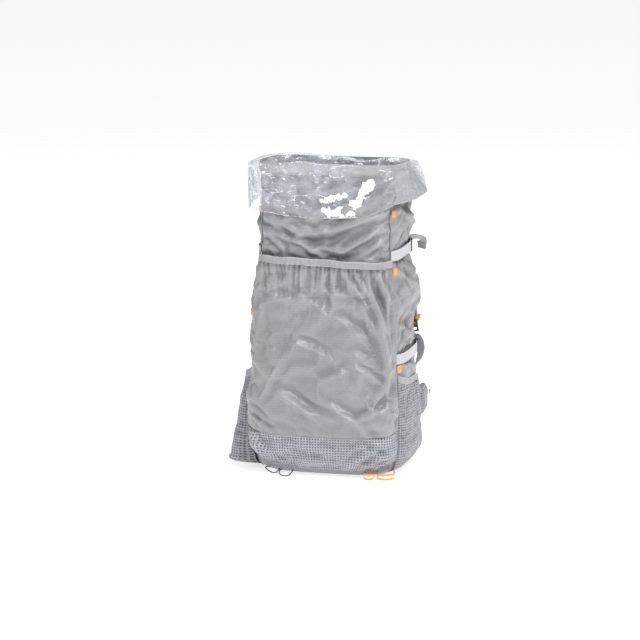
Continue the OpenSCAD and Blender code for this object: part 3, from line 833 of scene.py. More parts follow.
def side_share(angle):
    """0 to 1 across a side wall from its front seam to its back seam, outside it beyond that."""
    a = np.abs(signed(angle))
    to_side = np.where(a > 90, 180 - a, a)
    behind = np.sin(np.radians(angle)) > 0
    return np.where(behind, 0.45 + 0.55 * to_side / BACK_SEAM, 0.45 - 0.45 * to_side / FRONT_SEAM)


def inside(share, power=0.6):
    """0 at both edges of a panel, whose share goes from 0 to 1, and 1 in its middle."""
    return np.clip(4 * share * (1 - share), 0, 1) ** power


def front_share(angle):
    """0 to 1 across the front wall from its left seam to its right seam."""
    return ((np.asarray(angle) % 360) - (180 + FRONT_SEAM)) / (180 - 2 * FRONT_SEAM)


on_side = inside(side_share(turn))
on_front = inside(front_share(turn), 0.5)
X, Y, Z = shell[..., 0], shell[..., 1], shell[..., 2]
under_straps = -6 * sum(bell(heights, z, 17) for z in STRAP_HEIGHTS.values())
side_wave = under_straps + np.where(X > 0, 1.0, 0.2) * (
    10 * bell(heights, 352, 32) - 8 * bell(heights, 284, 28) + 5 * bell(heights, 492, 40)
)
# Each fold's start and end, its width and its rise.
side_fold = folds(Y * np.sign(X), Z, [
    (-70, 455, 40, 520, 8, 7.5), (-60, 520, 60, 470, 8, 7.0), (-84, 470, -30, 500, 6, 6.0),
    (-80, 412, 30, 340, 8, 8.0), (-80, 345, 40, 395, 8, 7.0), (-78, 300, 10, 260, 8, 7.5),
    (-72, 250, 50, 300, 8, 7.0), (-40, 405, 60, 385, 6, 5.0), (-60, 215, 50, 190, 7, 5.0),
    (0, 290, 75, 340, 9, 6.0), (60, 210, -20, 265, 8, 5.0), (70, 460, 0, 500, 8, 5.0),
    (-86, 380, -60, 300, 5, 6.0), (-50, 390, -30, 300, 6, 5.0),
])
front_fold = folds(X, Z, [
    (140, 520, 38, 484, 9, 11.0), (60, 492, -40, 464, 8, 9.0), (-30, 462, -75, 490, 8, 9.0),
    (138, 504, 56, 446, 8, 11.0), (136, 484, 92, 438, 6, 8.0), (136, 470, 112, 436, 5, 6.0),
    (70, 456, 24, 430, 7, 7.0), (-128, 474, -46, 458, 7, 9.0), (-60, 466, 2, 428, 7, 8.0),
    (-118, 452, -86, 430, 6, 8.0), (-104, 464, -70, 436, 5, 7.0), (-126, 500, -66, 482, 8, 7.0),
    (-20, 446, 60, 440, 7, 6.0), (-95, 520, 10, 508, 9, 6.0), (20, 516, 120, 534, 8, 6.0),
    (-20, 560, 110, 548, 10, 4.0), (-120, 556, -10, 566, 9, 4.0),
])
back_fold = folds(X, Z, [
    (-110, 560, 40, 545, 10, 4.0), (-30, 580, 100, 560, 9, 3.5), (-120, 300, -100, 420, 6, 3.0),
    (120, 280, 100, 400, 6, 3.0),
])
big = field(shell, (95, 95, 60), 1, 2)
mid, small = creases(shell, (52, 52, 38), 2), creases(shell, (21, 21, 17), 3)
texture = 3.5 * big + 6.0 * (mid + 0.02) + 2.6 * (small + 0.02)
front_drags = (
    9.0 * drags(X, Z, 0.5, 95, 20, 6) * ease(-60, 40, X)
    + 7.0 * drags(X, Z, -0.3, 80, 18, 7) * ease(20, -70, X)
)
side_drags = 7.0 * drags(Y * np.sign(X), Z, 0.9, 70, 17, 8)
on_back = (turn > BACK_SEAM) & (turn < 180 - BACK_SEAM)
relief = (
    on_side * (side_wave + side_fold + side_drags + 0.7 * texture)
    + on_front * (front_fold + front_drags + 0.6 * texture) * ease(404, 432, heights)
    + on_back * (0.8 * texture + back_fold) * ease(465, 520, heights)
    * inside((turn - BACK_SEAM) / 90)
)
level = together(3.0, 5.0, heights)
relief = relief + 2.4 * field(level, 14, 4, 2) * ease(425, 445, heights)
relief = np.where(heights < 215, np.minimum(relief, -0.6) * ease(40, 80, heights), relief)
relief = relief * ease(SHELL_TOP, 575, heights) + 0.8 * big * ease(575, SHELL_TOP, heights)
sway = 1.1 * field(level, 15, 9, 2) * ease(428, 448, heights) * ease(590, 560, heights)
near_seam = bell(signed(turn), -FRONT_SEAM, 9) + bell(signed(turn), FRONT_SEAM - 180, 9)
shell = bag(angles + sway * near_seam, heights, relief)
shell[..., 2] -= 13 * ease(560, SHELL_TOP, heights) * (0.5 + 0.5 * np.sin(np.radians(angles)))
arc = distances(bag(angles[:, 0], GIRTH_Z))
bag_shell = grid_object("bag_shell", shell, together(arc[:, None], heights))
pins = np.zeros(shell.shape[:2])
pins[:, :3] = pins[:, -2:] = 1
seam_gap = np.min([np.abs(signed(turn - seam)) for seam in SEAMS.values()], axis=0)
near_strap = np.min([np.abs(heights - z) for z in STRAP_HEIGHTS.values()], axis=0) < 9
for where, strength in (
    (seam_gap < 0.8, 1), (heights < 150, 1), ((on_front > 0) & (heights < 405), 1),
    (on_back & (heights < 480), 1), ((on_side > 0) & near_strap, 0.9),
):
    pins[np.broadcast_to(where, pins.shape)] = strength
pins[[0, -1]] = 1
settle(bag_shell, pins, pressure=0.6, grow=0.05, frames=16, cap=6, bend=0.2)
shell = coordinates(bag_shell).reshape(shell.shape) * 1000
# The material paints shade into the hollows of the shell's folds and a highlight on their ridges.
mark_painted_shade(bag_shell, shell, plain_shell, 2.0 + 1.6 * (on_side > 0))
thicken(bag_shell, 0.5)
finish_piece(
    bag_shell, "ripstop", "front_panel", "side_panel_left", "side_panel_right", "back_panel",
    "collar"
)

# The base: rounds under from the shell's foot and lies almost flat.
rim = bag(angles[:, 0], 3.0)
rings = np.linspace(1, 0.02, 16)[None, :, None]
base = rim[:, None] * rings
reach = rings[..., 0]
under = 3.0 - 2.2 * ease(1.0, 0.93, reach) + 0.5 * field(base, 60, 5, 2) * ease(1, 0.8, reach)
base[..., 2] = np.maximum(under, 0.4)
base_sheet = grid_object("base_sheet", base, base[..., :2])
thicken(base_sheet, 0.3, 1.0)
finish_piece(base_sheet, "gridstop", "base_panel")


def along_shell(angle, low, high):
    """Points of the finished shell up one of its columns, with the way out from it."""
    i = int(np.argmin(np.abs(signed(angles[:, 0] - angle))))
    keep = (heights[0] >= low) & (heights[0] <= high)
    return shell[i][keep], normals(shell)[i][keep]


for name, angle in SEAMS.items():
    line, out = along_shell(angle, 6, 590 if name.startswith("front") else 585)
    fin = ribbon("seam_" + name, line + out * 0.5, 2.2, out, 0.8, across=3, crown=0.4)
    finish_piece(fin, "seam", body="pack")

# Hem round the top of the collar.
hem_rows = heights[0] >= 580
hem = shell[:, hem_rows] + normals(shell)[:, hem_rows] * 0.9
collar_hem = grid_object("collar_hem_tape", hem)
thicken(collar_hem, 0.7, 1.0, 0)
finish_piece(collar_hem, "binding", "collar_hem")

# ---- front pocket, apron and its elastic ----
# From the middle of the front to the pocket's edge, as the CAD model's turn.
POCKET_EDGE = 90 - 30 - 1.2
# The same edge, in degrees from the bag's sides.
POCKET_SEAM = FRONT_SEAM - 0.6
pocket_angles = np.linspace(180 + POCKET_SEAM, 360 - POCKET_SEAM, 171)[:, None]
pocket_turn = turn_of(pocket_angles)
share = np.linspace(-1, 1, 171)[:, None]
seam_z = 84 + 14 * (np.abs(pocket_turn - 270) / POCKET_EDGE) ** 2
low_rows, high_rows = 26, 106
foot_z = 13 + 32 * ease(0.5, 1.0, -share) + 18 * ease(0.62, 1.0, share)
rows_low = foot_z + (seam_z - foot_z) * np.linspace(0, 1, low_rows)[None, :]
droop = 6 * ease(-0.5, 1.0, share)
rows_high = seam_z + (POCKET_TOP - droop - seam_z) * np.linspace(0, 1, high_rows)[None, 1:]
pz = np.hstack([rows_low, rows_high])
# Rows of height, and how far the pocket stands out there.
OUT_ROWS = [[10, 2], [35, 16.5], [84, 30], [180, 28.5], [300, 19.8], [412, 15.5], [430, 15]]
fullness = plump(pocket_turn, 270, POCKET_EDGE + 0.2)
above_foot = pz - foot_z
base_out = 1.2 + fullness * curve(OUT_ROWS, pz) * (0.25 + 0.75 * ease(0, 22, above_foot))
flat = bag(pocket_angles, pz, base_out)
PX, PZ = flat[..., 0], flat[..., 2]
# Short gathers under the elastic at random, then the long pleats of the photo.
rng = np.random.default_rng(11)
pleats = np.zeros_like(PX)
d = np.maximum(POCKET_TOP - droop - PZ, 0)
x = -128.0
while x < 130:
    length, rise = rng.uniform(22, 75), rng.uniform(2.6, 5.4)
    width, slant = rng.uniform(2.0, 3.2), rng.uniform(-0.12, 0.12)
    pleats += rise * bell(PX, x + slant * d, width * (1 + 0.012 * d)) * np.exp(-(d / length) ** 1.3)
    x += rng.uniform(6.5, 11)
for x, length, rise, width, slant in (
    (-112, 150, 4.5, 5, -0.05), (-91, 90, 4.5, 5, 0.05), (-62, 60, 4.0, 5, 0.1),
    (-32, 85, 4.5, 5, -0.1), (8, 95, 4.5, 5, -0.05), (24, 130, 4.8, 6, 0.1),
    (48, 100, 4.5, 5, 0.25), (88, 120, 5.0, 6, 0.3), (113, 260, 5.5, 5, 0.09),
    (124, 330, 4.5, 4, 0.045),
):
    pleats += rise * bell(PX, x + slant * d, width * (1 + 0.008 * d)) * np.exp(-(d / length) ** 2)
pocket_fold = folds(PX, PZ, [
    (62, 412, 134, 288, 7, 9.0), (100, 412, 137, 342, 5, 8.0), (84, 412, 138, 262, 5, 6.0),
    (122, 400, 140, 200, 4, 6.0), (104, 380, 138, 180, 5, 6.0),
    (40, 408, 96, 335, 6, 6.0), (80, 350, 136, 235, 8, 7.0), (112, 330, 139, 150, 6, 6.0),
    (-55, 270, 34, 238, 7, 5.5), (2, 190, 62, 219, 7, 5.0), (36, 318, 98, 262, 8, 6.0),
    (-134, 118, -92, 88, 5, 5.0), (-138, 140, -98, 112, 5, 4.5), (-118, 400, -134, 300, 6, 5.5),
    (-120, 330, -60, 352, 9, 5.0), (-136, 240, -92, 200, 8, 5.0), (134, 200, 100, 130, 7, 5.2),
    (-30, 140, 40, 118, 8, 4.4), (70, 120, 136, 150, 6, 5.0), (-20, 350, 40, 300, 10, 4.6),
    (-90, 300, -70, 180, 12, 4.0), (20, 260, 70, 160, 10, 4.0), (-84, 176, 12, 112, 8, 5.5),
    (16, 156, 92, 104, 8, 5.0), (-60, 240, -110, 150, 7, 5.0), (60, 230, 128, 190, 6, 5.0),
])
apron_fold = folds(PX, PZ, [
    (34, 10, 128, 78, 6, 8.0), (70, 14, 140, 62, 5, 7.0), (96, 18, 142, 40, 4, 5.0),
    (-130, 70, -96, 22, 6, 6.0), (-136, 96, -112, 40, 5, 5.0), (-60, 20, 10, 34, 8, 4.0),
    (60, 60, 132, 84, 5, 6.0), (-40, 66, 50, 48, 7, 3.0), (-140, 88, -84, 30, 6, 7.0),
    (84, 70, 138, 40, 5, 6.0),
])
edge_free = inside((share + 1) / 2, 0.45)
soft = (
    4.0 * field(flat, (95, 95, 80), 11, 2) + 9.0 * creases(flat, (80, 80, 62), 12)
    + 2.2 * creases(flat, (24, 24, 20), 13) * ease(300, 400, PZ)
)
crumple = (
    7.5 * (0.35 + 0.65 * ease(20, 80, np.abs(PX - 10))) * creases(flat, (34, 34, 26), 14)
    + 1.6 * creases(flat, (13, 13, 11), 15)
)
below = ease(seam_z + 6, seam_z - 14, pz)
pocket_relief = (
    (pleats + pocket_fold + soft * (1 + 0.8 * ease(0.55, 0.95, np.abs(share)))) * (1 - below)
    + (0.5 * soft + crumple + apron_fold) * below
) * edge_free - 1.6 * bell(pz, seam_z, 3.0)
pocket_relief = pocket_relief * ease(-2, 14, above_foot)
pocket_relief = np.maximum(pocket_relief, 0.6 - 0.75 * (base_out - 1.2))
pocket = bag(pocket_angles, pz, base_out + pocket_relief)
arc = distances(bag(pocket_angles[:, 0], GIRTH_Z, 20.0))
arc = arc[:, None] - arc[-1] / 2
pocket_place = together(arc, pz)
pocket_all = grid_object("front_pocket_sheet", pocket, pocket_place)
pins = np.zeros(pocket.shape[:2])
pins[[0, 1, -2, -1]] = 1
pins[:, [0, -1]] = 1
pins[:, low_rows - 1] = 0.8
gathered = 0.9 * ease(350, 400, pz) + 0.5 * ease(84, 110, PX) * ease(120, 200, pz)
pins = np.maximum(pins, np.minimum(0.9, gathered))
settle(pocket_all, pins, pressure=0.8, grow=0.045, frames=16, cap=6, bend=0.2)
pocket = coordinates(pocket_all).reshape(pocket.shape) * 1000
bpy.data.objects.remove(pocket_all)
above = np.s_[:, low_rows - 1:]
upper = grid_object("front_pocket_sheet", pocket[above], pocket_place[above])
# Painted shade in the hollows of the pocket's folds and painted highlights on their ridges, with a
# painted shadow on the top rows just under the elastic.
mark_painted_shade(
    upper, pocket[above], flat[above],
    1.6 + 4.0 * ease(385, 320, pz[above]) * ease(96, 70, PX[above]),
    0.9 * ease(402, 411, pz[above] + droop)
)
thicken(upper, 0.5)
finish_piece(upper, "ripstop", "front_pocket")
lower = grid_object("front_pocket_apron_sheet", pocket[:, :low_rows], pocket_place[:, :low_rows])
# Painted shade in the hollows of the apron's folds and painted highlights on their ridges.
mark_painted_shade(lower, pocket[:, :low_rows], flat[:, :low_rows], 4.0)
thicken(lower, 0.6)
finish_piece(lower, "gridstop", "front_pocket_apron")

band_z = np.array([413.0, 416, 420, 424, 427.0])[None, :]
ripple = (pocket_relief[:, -1:] - pocket_relief[:, -1:].mean()) * [0.7, 0.4, 0.25, 0.3, 0.4]
band_out = 3.6 + fullness * curve(OUT_ROWS, band_z) + np.clip(ripple, -1.5, 2.0) * edge_free
band = bag(pocket_angles, band_z, band_out)
band[..., 2] += 0.8 * np.sin(arc / 11) * [0.6, 0.3, 0, 0.4, 0.8] - droop
band_obj = grid_object("front_pocket_elastic", band, together(arc, band_z - POCKET_TOP))
thicken(band_obj, 1.6)
finish_piece(band_obj, "elastic", "front_pocket_band")

# ---- side pockets ----
def side_pocket(side, name, depth_rows, band_out, seed):
    """Gathered pocket on one side, with its elastic mouth. side is 1 on the right."""
    foot, columns, band_rows = 8, 101, np.array([0, 3.3, 6.7, 10, 13.4])[None, :]
    a = np.linspace(-36.0, 43.3, columns)[:, None]
    t = signed(turn_of(a))
    # The mouth slopes down to the back.
    top_z = 200 - 40 * (t + 28) / 70
    full = plump(t, 7, 35.3)
    v = np.concatenate([[0, 0.012, 0.03], np.linspace(0.06, 1, 46)])[None, :]
    z = foot + (top_z - 13 - foot) * v
    depth = full * curve(depth_rows, v)
    plain = bag(a, z, 1.2 + depth)
    u = distances(bag(a[:, 0], 150.0, 15.0))[:, None]
    d = (1 - v) * (top_z - 13 - foot)
    gather = np.zeros_like(depth)
    r = np.random.default_rng(seed)
    x = 4.0
    while x < u[-1, 0]:
        length, rise, wide = r.uniform(20, 80), r.uniform(1.8, 4.0), r.uniform(2.6, 4.4)
        pleat = bell(u, x + r.uniform(-0.15, 0.15) * d, wide * (1 + 0.01 * d))
        gather += rise * pleat * np.exp(-(d / length) ** 1.4)
        x += r.uniform(8, 14)
    rough = (
        3.5 * creases(plain, (46, 46, 34), seed) + 1.6 * creases(plain, (16, 16, 13), seed + 1)
        + 2.5 * field(plain, (70, 70, 60), seed + 2, 2)
    )
    free = inside(np.linspace(0, 1, columns)[:, None], 0.45) * ease(0.0, 0.15, v)
    relief = np.maximum((gather + rough) * free, 0.5 - 0.7 * depth)
    grid = bag(a, z, 1.2 + depth + relief)
    ripple = np.clip(relief[:, -1:] * 0.4, -1, 1.6) * free[:, -1:]
    band = bag(a, top_z - 13.4 + band_rows, 1.9 + full * band_out + ripple)
    # The far way round on the left, so that the outside stays outside.
    plain, grid, band = (mirror(g, side)[::side] for g in (plain, grid, band))
    place, band_place = together(u, z)[::side], together(u, band_rows)[::side]
    obj = grid_object("side_pocket_sheet_" + name, grid, place)
    pin = np.zeros(grid.shape[:2])
    pin[[0, 1, -2, -1]] = 1
    pin[:, [0, 1, -1]] = 1
    settle(obj, pin, pressure=0.8, grow=0.03, frames=14, cap=4, bend=0.25)
    # Painted shade in the hollows of the folds and painted highlights on their ridges, with painted
    # shade darkening the whole pocket.
    mark_painted_shade(obj, coordinates(obj).reshape(grid.shape) * 1000, plain, 2.0, 0.45)
    thicken(obj, 0.6)
    finish_piece(obj, "gridstop", "side_pocket_" + name)
    obj = grid_object("side_pocket_elastic_" + name, band, band_place)
    thicken(obj, 1.6)
    finish_piece(obj, "elastic", "side_pocket_band_" + name)


side_pocket(1, "right", [[0, 1], [0.08, 6], [0.2, 10], [0.45, 9], [0.75, 5], [1, 3]], 3.0, 21)
side_pocket(-1, "left", [
    [0, 2], [0.012, 40], [0.03, 58], [0.08, 54], [0.2, 44], [0.45, 32], [0.75, 22], [1, 15]
], 15.0, 31)

# ---- side straps ----
strap_angles = np.linspace(-36.9, 44.0, 61)
strap_out = 1.2 + 2.8 * plump(signed(turn_of(strap_angles)), 7.35, 36.15)
for side, name in SIDES:
    for level, z in STRAP_HEIGHTS.items():
        line = mirror(bag(strap_angles, z, strap_out), side)[::side]
        facing = mirror(bag(strap_angles, z, 40.0), side)[::side] - line
        obj = ribbon(f"side_strap_{level}_{name}_web", line, 20, facing, 1.4, across=7)
        finish_piece(obj, "light", f"side_strap_{level}_{name}")
    tail = mirror([
        [120.6, 92.4, 432], [128, 97, 437], [139, 104, 438], [146, 109, 433], [148, 110.5, 424],
        [147, 110, 414]
    ], side)
    tail = ribbon("strap_tail_" + name, tail, 20, [-0.2 * side, -0.5, 1], 1.4, steps=6, across=7)
    finish_piece(tail, "grey", "strap_tails")


def folded_loop(name, foot, out, across, length, width, gap, look, node, body="pack"):
    """Tape folded over on itself: out from a seam, round, and back beside where it began."""
    foot, out, across = np.array(foot, float), unit(np.array(out, float)), np.array(across, float)
    lift = np.cross(across, out)
    path = [
        foot - lift * gap / 2, foot + out * length * 0.55 - lift * gap * 0.62,
        foot + out * length * 0.92 - lift * gap * 0.45, foot + out * length,
        foot + out * length * 0.92 + lift * gap * 0.45,
        foot + out * length * 0.55 + lift * gap * 0.62, foot + lift * gap / 2,
    ]
    p = spline(path, 4)
    obj = ribbon(name, p, width, np.cross(np.gradient(p, axis=0), across), 0.9)
    return finish_piece(obj, look, node, body=body)


for (side, name), levels in zip(SIDES, ((508.5, 398, 211), (508.5, 309, 211))):
    for k, z in enumerate(levels):
        seam = mirror(bag(np.array([-36.4, -30.0]), z, 1.6), side)
        out = seam[1] - seam[0] + [side * 3, 0, 0.25 * k]
        folded_loop(
            f"gear_loop_{name}_{k}", seam[0], out, [0, 0, 1], 11, 13, 2.2, "orange",
            "gear_loops_" + name
        )

for name, path in {
    "tool_loop_small": [
        [86, -100, 6.8], [85, -112, 6.8], [90, -119, 6.8], [98, -119, 6.8], [102, -112, 6.8],
        [100, -97, 6.8]],
    "tool_loop_large": [
        [107, -93, 6.8], [110, -107, 6.8], [121, -114, 6.8], [134, -109, 6.8], [141, -96, 6.8],
        [134, -72, 6.8]],
}.items():
    p = spline(path, 6)
    middle = p.mean(0)
    facing = p - middle
    facing[:, 2] = 0
    obj = ribbon(name, p, 11, facing, 1.2, across=7)
    finish_piece(obj, "striped", "tool_loops")

# ---- liner ----
liner_angles = np.linspace(0, 360, 241)[:, None]


def sleeve(angle, half, front, rear, out):
    """Points round the bag at no height. front and rear are its depths."""
    c, s = direction(angle)
    return together((half + out) * c, (np.where(s < 0, front, rear) + out) * s, 0 * c)


liner_round = np.radians(liner_angles)
to_back = 0.5 + 0.5 * np.sin(liner_round)
from_right = np.abs(signed(liner_angles))
corner_flare = 14 * np.abs(direction(liner_angles)[0]) ** 12
hem_z = (
    501 + 26 * to_back + 3 * np.abs(np.cos(liner_round)) + 1.4 * np.sin(liner_round * 5 + 1)
    + 24 * ease(64, 34, from_right) - 4 * bell(from_right, 12, 14)
)
rim_z = 603 - 12 * to_back + 2.6 * np.sin(liner_round * 3 + 0.6) - 9 * bell(from_right, 0, 32)
LINER_FOOT, FIXED_ROWS = 21, 40
inner_rows = np.concatenate([np.linspace(LINER_FOOT, 560, FIXED_ROWS), np.linspace(572, 600, 4)])
inner_rows = inner_rows[None, :]
inner = sleeve(liner_angles, 120, 88, 84, 0 * inner_rows)
inner[..., 2] = inner_rows + (rim_z - 607) * ease(450, 600, inner_rows)
ripples = 3.2 * creases(inner, (40, 40, 70), 41) + 1.6 * creases(inner, (16, 16, 30), 42)
ripples = ripples * ease(LINER_FOOT, 60, inner_rows) * ease(606, 560, inner_rows)
inner[..., :2] *= 1 + ripples[..., None] / 110
cuff_v = np.linspace(0, 1, 34)[None, :]
flare = bell(signed(liner_angles), 2, 26) * (18 * cuff_v**1.4 - 12 * (1 - cuff_v) ** 2)
cuff = sleeve(liner_angles, 144, 109, 109, corner_flare + 1.5 * cuff_v + flare)
cuff[..., 2] = rim_z - 3 + (hem_z - rim_z + 3) * cuff_v
smooth_part = ease(50, 84, cuff[..., 0]) * ease(60, 0, cuff[..., 1])
crush = (
    (8.0 * creases(cuff, (30, 30, 46), 43) + 4.0 * creases(cuff, (11, 11, 17), 44))
    * (1 - 0.75 * smooth_part) + 3.0 * field(cuff, (60, 60, 50), 45, 2)
)
crush = crush + smooth_part * folds(cuff[..., 0], cuff[..., 2], [
    (128, 604, 62, 520, 7, 5.0), (140, 590, 92, 526, 6, 5.0), (108, 606, 52, 548, 6, 4.0),
    (150, 570, 122, 534, 5, 4.0),
])
crush = crush * (0.35 + 0.65 * ease(0.0, 0.2, cuff_v))
outward = together(*direction(liner_angles), 0.0)
cuff = cuff + outward * np.maximum(crush, -3.5)[..., None]
over = np.linspace(0, 1, 9)[1:-1][None, :, None]
arch = inner[:, -1:] * (1 - over) + cuff[:, :1] * over
arch[..., 2] += (4.5 + 1.5 * np.sin(liner_round * 9)) * np.sin(math.pi * over[..., 0]) ** 0.7
sheet = np.concatenate([inner, arch, cuff], axis=1)
sheet[-1] = sheet[0]
liner_bag = grid_object("liner_bag", sheet)
hem_mark = np.zeros(sheet.shape[:2])
hem_mark[:, -2:] = [0.5, 1.0]
put(liner_bag, "from_hem", hem_mark)
pins = np.zeros(sheet.shape[:2])
pins[:, :FIXED_ROWS] = 1
pins[[0, -1]] = 1
settle(liner_bag, pins, pressure=0.2, grow=0.05, frames=14, cap=4, bend=0.05, stiff=20)
finish_piece(liner_bag, "film", "liner")
floor_rings = np.linspace(1, 0.02, 12)[None, :, None]
floor = sheet[:, :1] * floor_rings
floor[..., 2] = LINER_FOOT + 0.4 + 1.2 * field(floor, 40, 46, 2) * ease(1, 0.8, floor_rings[..., 0])
liner_floor = grid_object("liner_floor", floor, floor[..., :2])
finish_piece(liner_floor, "film", body="liner")

# Loose corner of the cuff, standing out at the right.
flap_u, flap_v = np.linspace(0, 1, 21)[:, None, None], np.linspace(0, 1, 17)[None, :, None]
top_front, top_back, foot_front, foot_back = np.array([
    [140, -72, 592], [147, 22, 584], [141, -98, 530], [178, 16, 540]
], float)
flap = (
    (top_front * (1 - flap_u) + top_back * flap_u) * (1 - flap_v)
    + (foot_front * (1 - flap_u) + foot_back * flap_u) * flap_v
)
swell = (np.sin(math.pi * flap_u) * np.sin(math.pi * 0.6 * flap_v))[..., 0]
crinkle = creases(flap, (18, 18, 24), 47) - 0.2
flap[..., 0] += 7 * swell + 4.0 * crinkle * (1 - flap_u[..., 0] ** 4)
flap_obj = grid_object("liner_loose_corner", flap)
hem_mark = np.zeros(flap.shape[:2])
hem_mark[:, -1] = hem_mark[-1] = 1
put(flap_obj, "from_hem", hem_mark)
thicken(flap_obj, 0.15)
finish_piece(flap_obj, "film", body="liner")

# ---- back pads ----
back_pad = puff(pad_plate("back_pad_foam", (0, 112, 262), 194, 382, 6.4, 18, 0.3), 5, 4, 1.6)
finish_piece(back_pad, "padding", "back_pad")
for name, z, height in (("pad_mesh_upper", 400, 96), ("pad_mesh_lower", 118, 120)):
    u, v = np.linspace(-1, 1, 41)[:, None], np.linspace(-1, 1, 31)[None, :]
    round_off = 1 - 0.06 * (np.abs(u) ** 8 * np.abs(v) ** 8)
    x, zz = (99 if z > 200 else 87) * u * round_off, z + (height / 2 - 1) * v * round_off
    y = 117.0 + 0.6 * (1 - u**4) * (1 - v**4)
    obj = grid_object(name + "_panel", together(-x, y, zz))
    thicken(obj, 0.8)
    finish_piece(obj, "mesh", name)
lumbar = puff(pad_plate("lumbar_foam", (0, 124.4, 106), 162, 108, 10.5, 16, 0.8), 4.5, 4, 2.0)
finish_piece(lumbar, "mesh", "lumbar_pad")
yoke = puff(pad_plate("harness_yoke_foam", (0, 122.4, 454), 148, 38, 4.6, 12, 0.3), 4, 4, 1.0)
finish_piece(yoke, "padding", "harness_yoke")

haul = np.array([
    [-36, 106.8, 504], [-35, 120, 502], [-20, 134, 497], [0, 138, 495], [20, 134, 497],
    [35, 120, 502], [36, 106.8, 504]
], float)
taper = np.minimum(1, 0.45 + 0.06 * np.minimum(np.arange(37), 36 - np.arange(37))) * 16
haul_line = spline(haul, 6)
haul_out = haul_line - haul_line.mean(0) + [0, -18, 0]
haul_out[:, 2] = 0
haul_web = ribbon("haul_loop_web", haul_line, taper, haul_out, 1.6, across=7)
finish_piece(haul_web, "grey", "haul_loop")


# ---- harness and hip belt ----
SHOULDER = [
    [40, 126, 474], [46, 137, 462], [58, 156, 432], [72, 169, 390], [87, 175, 345],
    [101, 173, 302], [113, 164, 262]
]
WING = [
    [90, 126, 106], [105, 129, 105], [117, 140, 104], [121, 160, 102], [118, 182, 99],
    [108, 204, 96], [90, 222, 94], [64, 236, 92]
]
for side, name in SIDES:
    line = spline(SHOULDER, 8)[6:]
    index = (np.arange(len(line)) + 6) / 2
    half = np.interp(index, [0, 6, 14, 20, 24], [27, 31, 30, 24, 17]) - 2.0
    line = mirror(line, side)
    strap = sweep(
        "shoulder_strap_foam_" + name, line, half, np.full(len(line), 3.6), [0, 1, 0.2], 24
    )
    puff(strap, 3.6, 4, 1.8)
    finish_piece(strap, "padding", "shoulder_strap_" + name)
    _, o, a = directions(line, [0, 1, 0.2])
    for edge, label in ((1, "a"), (-1, "b")):
        rail = line[1:-1] + a[1:-1] * (edge * (half[1:-1] - 0.4))[:, None]
        bind = ribbon(f"strap_binding_{name}_{label}", rail, 7, a[1:-1] * edge, 1.0, crown=1.2)
        finish_piece(bind, "binding", body="harness")
    daisy = line[4:34] + o[4:34] * 5.3
    obj = ribbon("strap_daisy_" + name, daisy, 16, o[4:34], 1.2)
    finish_piece(obj, "grey", body="harness")

    pull = mirror([[115, 173.5, 250], [120, 176, 257], [124, 178, 265], [125, 179, 271]], side)
    obj = ribbon("strap_pull_tape_" + name, pull, 14, [0.3 * side, 1, 0], 2.0, steps=4)
    finish_piece(obj, "orange", "strap_pulls")

    low = mirror(spline([
        [121, 168, 233.5], [124, 170.5, 229], [130, 172, 220], [135, 168, 204], [135, 150, 186],
        [131, 126, 172], [126, 104, 163]
    ], 6), side)
    turned = np.sin(np.linspace(0, math.pi, len(low)))[:, None] ** 0.6
    at_ends, in_middle = mirror([[0.8, 0.6, 0.3], [0.25, 0.9, 0.3]], side)
    facing = at_ends * (1 - turned) + in_middle * turned
    obj = ribbon("lower_webbing_web_" + name, low, 18, facing, 1.4)
    obj.data.materials.append(LOOKS["grey"][0])
    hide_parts("lower_webbing_" + name)
    for m in list(obj.modifiers):
        bpy.context.view_layer.objects.active = obj
        bpy.ops.object.modifier_apply(modifier=m.name)
    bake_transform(obj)

    wing_line = mirror(spline(WING, 6), side)
    index = np.arange(len(wing_line)) / 2
    half = np.interp(index, [0, 6, 12, 18, 21], [56, 54, 48, 38, 32]) - 2.0
    wing = sweep(
        "hip_wing_foam_" + name, wing_line, 4.4 - 1.6 * ease(8, 0, index), half, [0, 0, 1],
        rings=28, square=3.2, domes=(9, 18)
    )
    puff(wing, 3.6, 4, 1.8)
    finish_piece(wing, "padding", "hip_wing_" + name)

    turned = math.radians(-86)
    matrix = np.array([
        [math.cos(turned), -math.sin(turned), 0], [math.sin(turned), math.cos(turned), 0], [0, 0, 1]
    ])
    pouch = pad_plate("hip_pouch_bag_" + name, (0, 0, 0), 74, 64, 17, 14, 1.0)
    co = coordinates(pouch) * 1000
    co[:, 1] += 16.5
    co[:, [0, 2]] *= np.interp(co[:, 1], [8, 25], [1.0, 0.8])[:, None]
    co = co @ matrix.T + [120.2, 172, 100]
    co[:, 0] *= side
    pouch.data.vertices.foreach_set("co", (co * 0.001).ravel())
    if side < 0:
        pouch.data.flip_normals()
    puff(pouch, 4, 5, 3.0)
    finish_piece(pouch, "pouch", "hip_pouch_" + name)

    strap_line = mirror([
        [60.6, 238, 92], [55.4, 240.8, 91.2], [49.5, 243.8, 82], [46, 246, 62], [44, 247, 40]
    ], side)
    outwards = [0.47 * side, 0.88, 0.1]
    obj = ribbon("hip_strap_web_" + name, strap_line, 34, outwards, 1.8, steps=6, across=9)
    finish_piece(obj, "grey34", "hip_strap_" + name)

for side, name in SIDES:
    middle = np.sum(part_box("zip_pull_" + name), axis=0) * 500
    out = np.array([0.07 * side, -1, 0])
    folded_loop(
        "zip_pull_tape_" + name, middle - out * 8, out, [0, 0, 1], 16, 7, 1.2, "grey",
        "zip_pull_" + name, "pull_" + name
    )

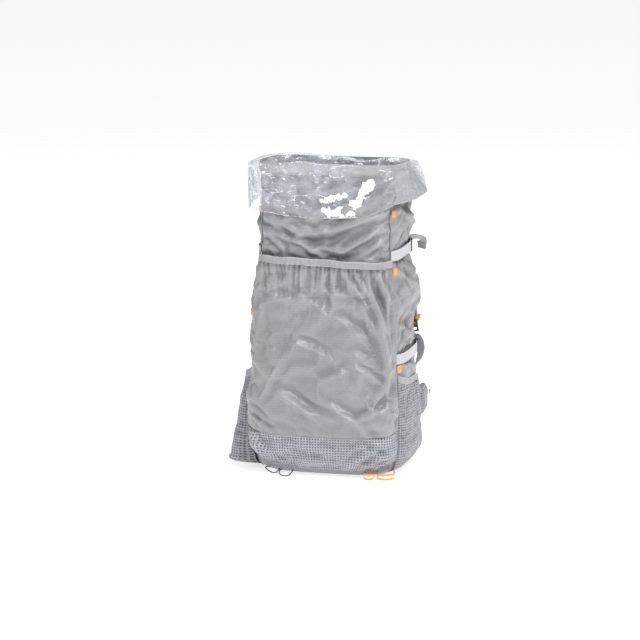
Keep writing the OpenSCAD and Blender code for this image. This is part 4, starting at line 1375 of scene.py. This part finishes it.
for node, x0, x1 in (("sternum_strap_left", -94, -24.5), ("sternum_strap_right", 36, 96)):
    line = np.linspace([x0, 186, 362], [x1, 186, 362], 12)
    obj = ribbon(node + "_web", line, 20, [0, 1, 0], 1.4)
    finish_piece(obj, "grey", node)

# ---- CAD nodes that stay, with their own materials ----
for node, look in {
    "rolltop_buckles": "black", "stay_end_caps": "black", "frame_stay": "tube",
    "side_strap_keepers": "black", "strap_adjusters": "black", "sternum_sliders": "black",
    "sternum_buckle_female": "black", "sternum_buckle_male": "black",
    "hip_buckle_female": "black", "hip_buckle_male": "black",
}.items():
    obj = frame["nodes"][node]
    obj.data.materials.clear()
    obj.data.materials.append(LOOKS[look][0])

# ---- floor and lights ----
FAR = 60
floor_mesh = bpy.data.meshes.new("floor")
floor_mesh.from_pydata(
    [(-FAR, -FAR, 0), (FAR, -FAR, 0), (FAR, FAR, 0), (-FAR, FAR, 0)], [], [(0, 1, 2, 3)]
)
ground = bpy.data.objects.new("floor", floor_mesh)
scene.collection.objects.link(ground)
# Just below the base, so that the two never share a plane.
ground.location.z = -0.0006
white = Material(
    "floor_paint", Roughness=0.9, Specular_IOR_Level=0.1, Emission_Color=(1, 1, 1),
    Emission_Strength=0.6
)
white.colour((0.9, 0.9, 0.9))
floor_mesh.materials.append(white.material)
world = bpy.data.worlds.new("studio")
scene.world = world
world.use_nodes = True
world.node_tree.nodes["Background"].inputs[0].default_value = (1, 1, 1, 1)
world.node_tree.nodes["Background"].inputs[1].default_value = 0.36
scene.view_settings.view_transform = "Standard"
for name, place, size, power in (
    ("key", (1.3, -2.0, 2.6), 0.6, 92), ("left", (-2.6, -1.6, 1.4), 1.0, 16),
    ("side", (2.4, -0.2, 1.6), 1.0, 10), ("top", (-0.4, 1.2, 2.4), 1.2, 26),
):
    data = bpy.data.lights.new(name, "AREA")
    data.size, data.energy = size, power
    lamp = bpy.data.objects.new(name, data)
    scene.collection.objects.link(lamp)
    lamp.location = place
    lamp.rotation_euler = (Vector((0, 0, 0.28)) - Vector(place)).to_track_quat("-Z", "Y").to_euler()
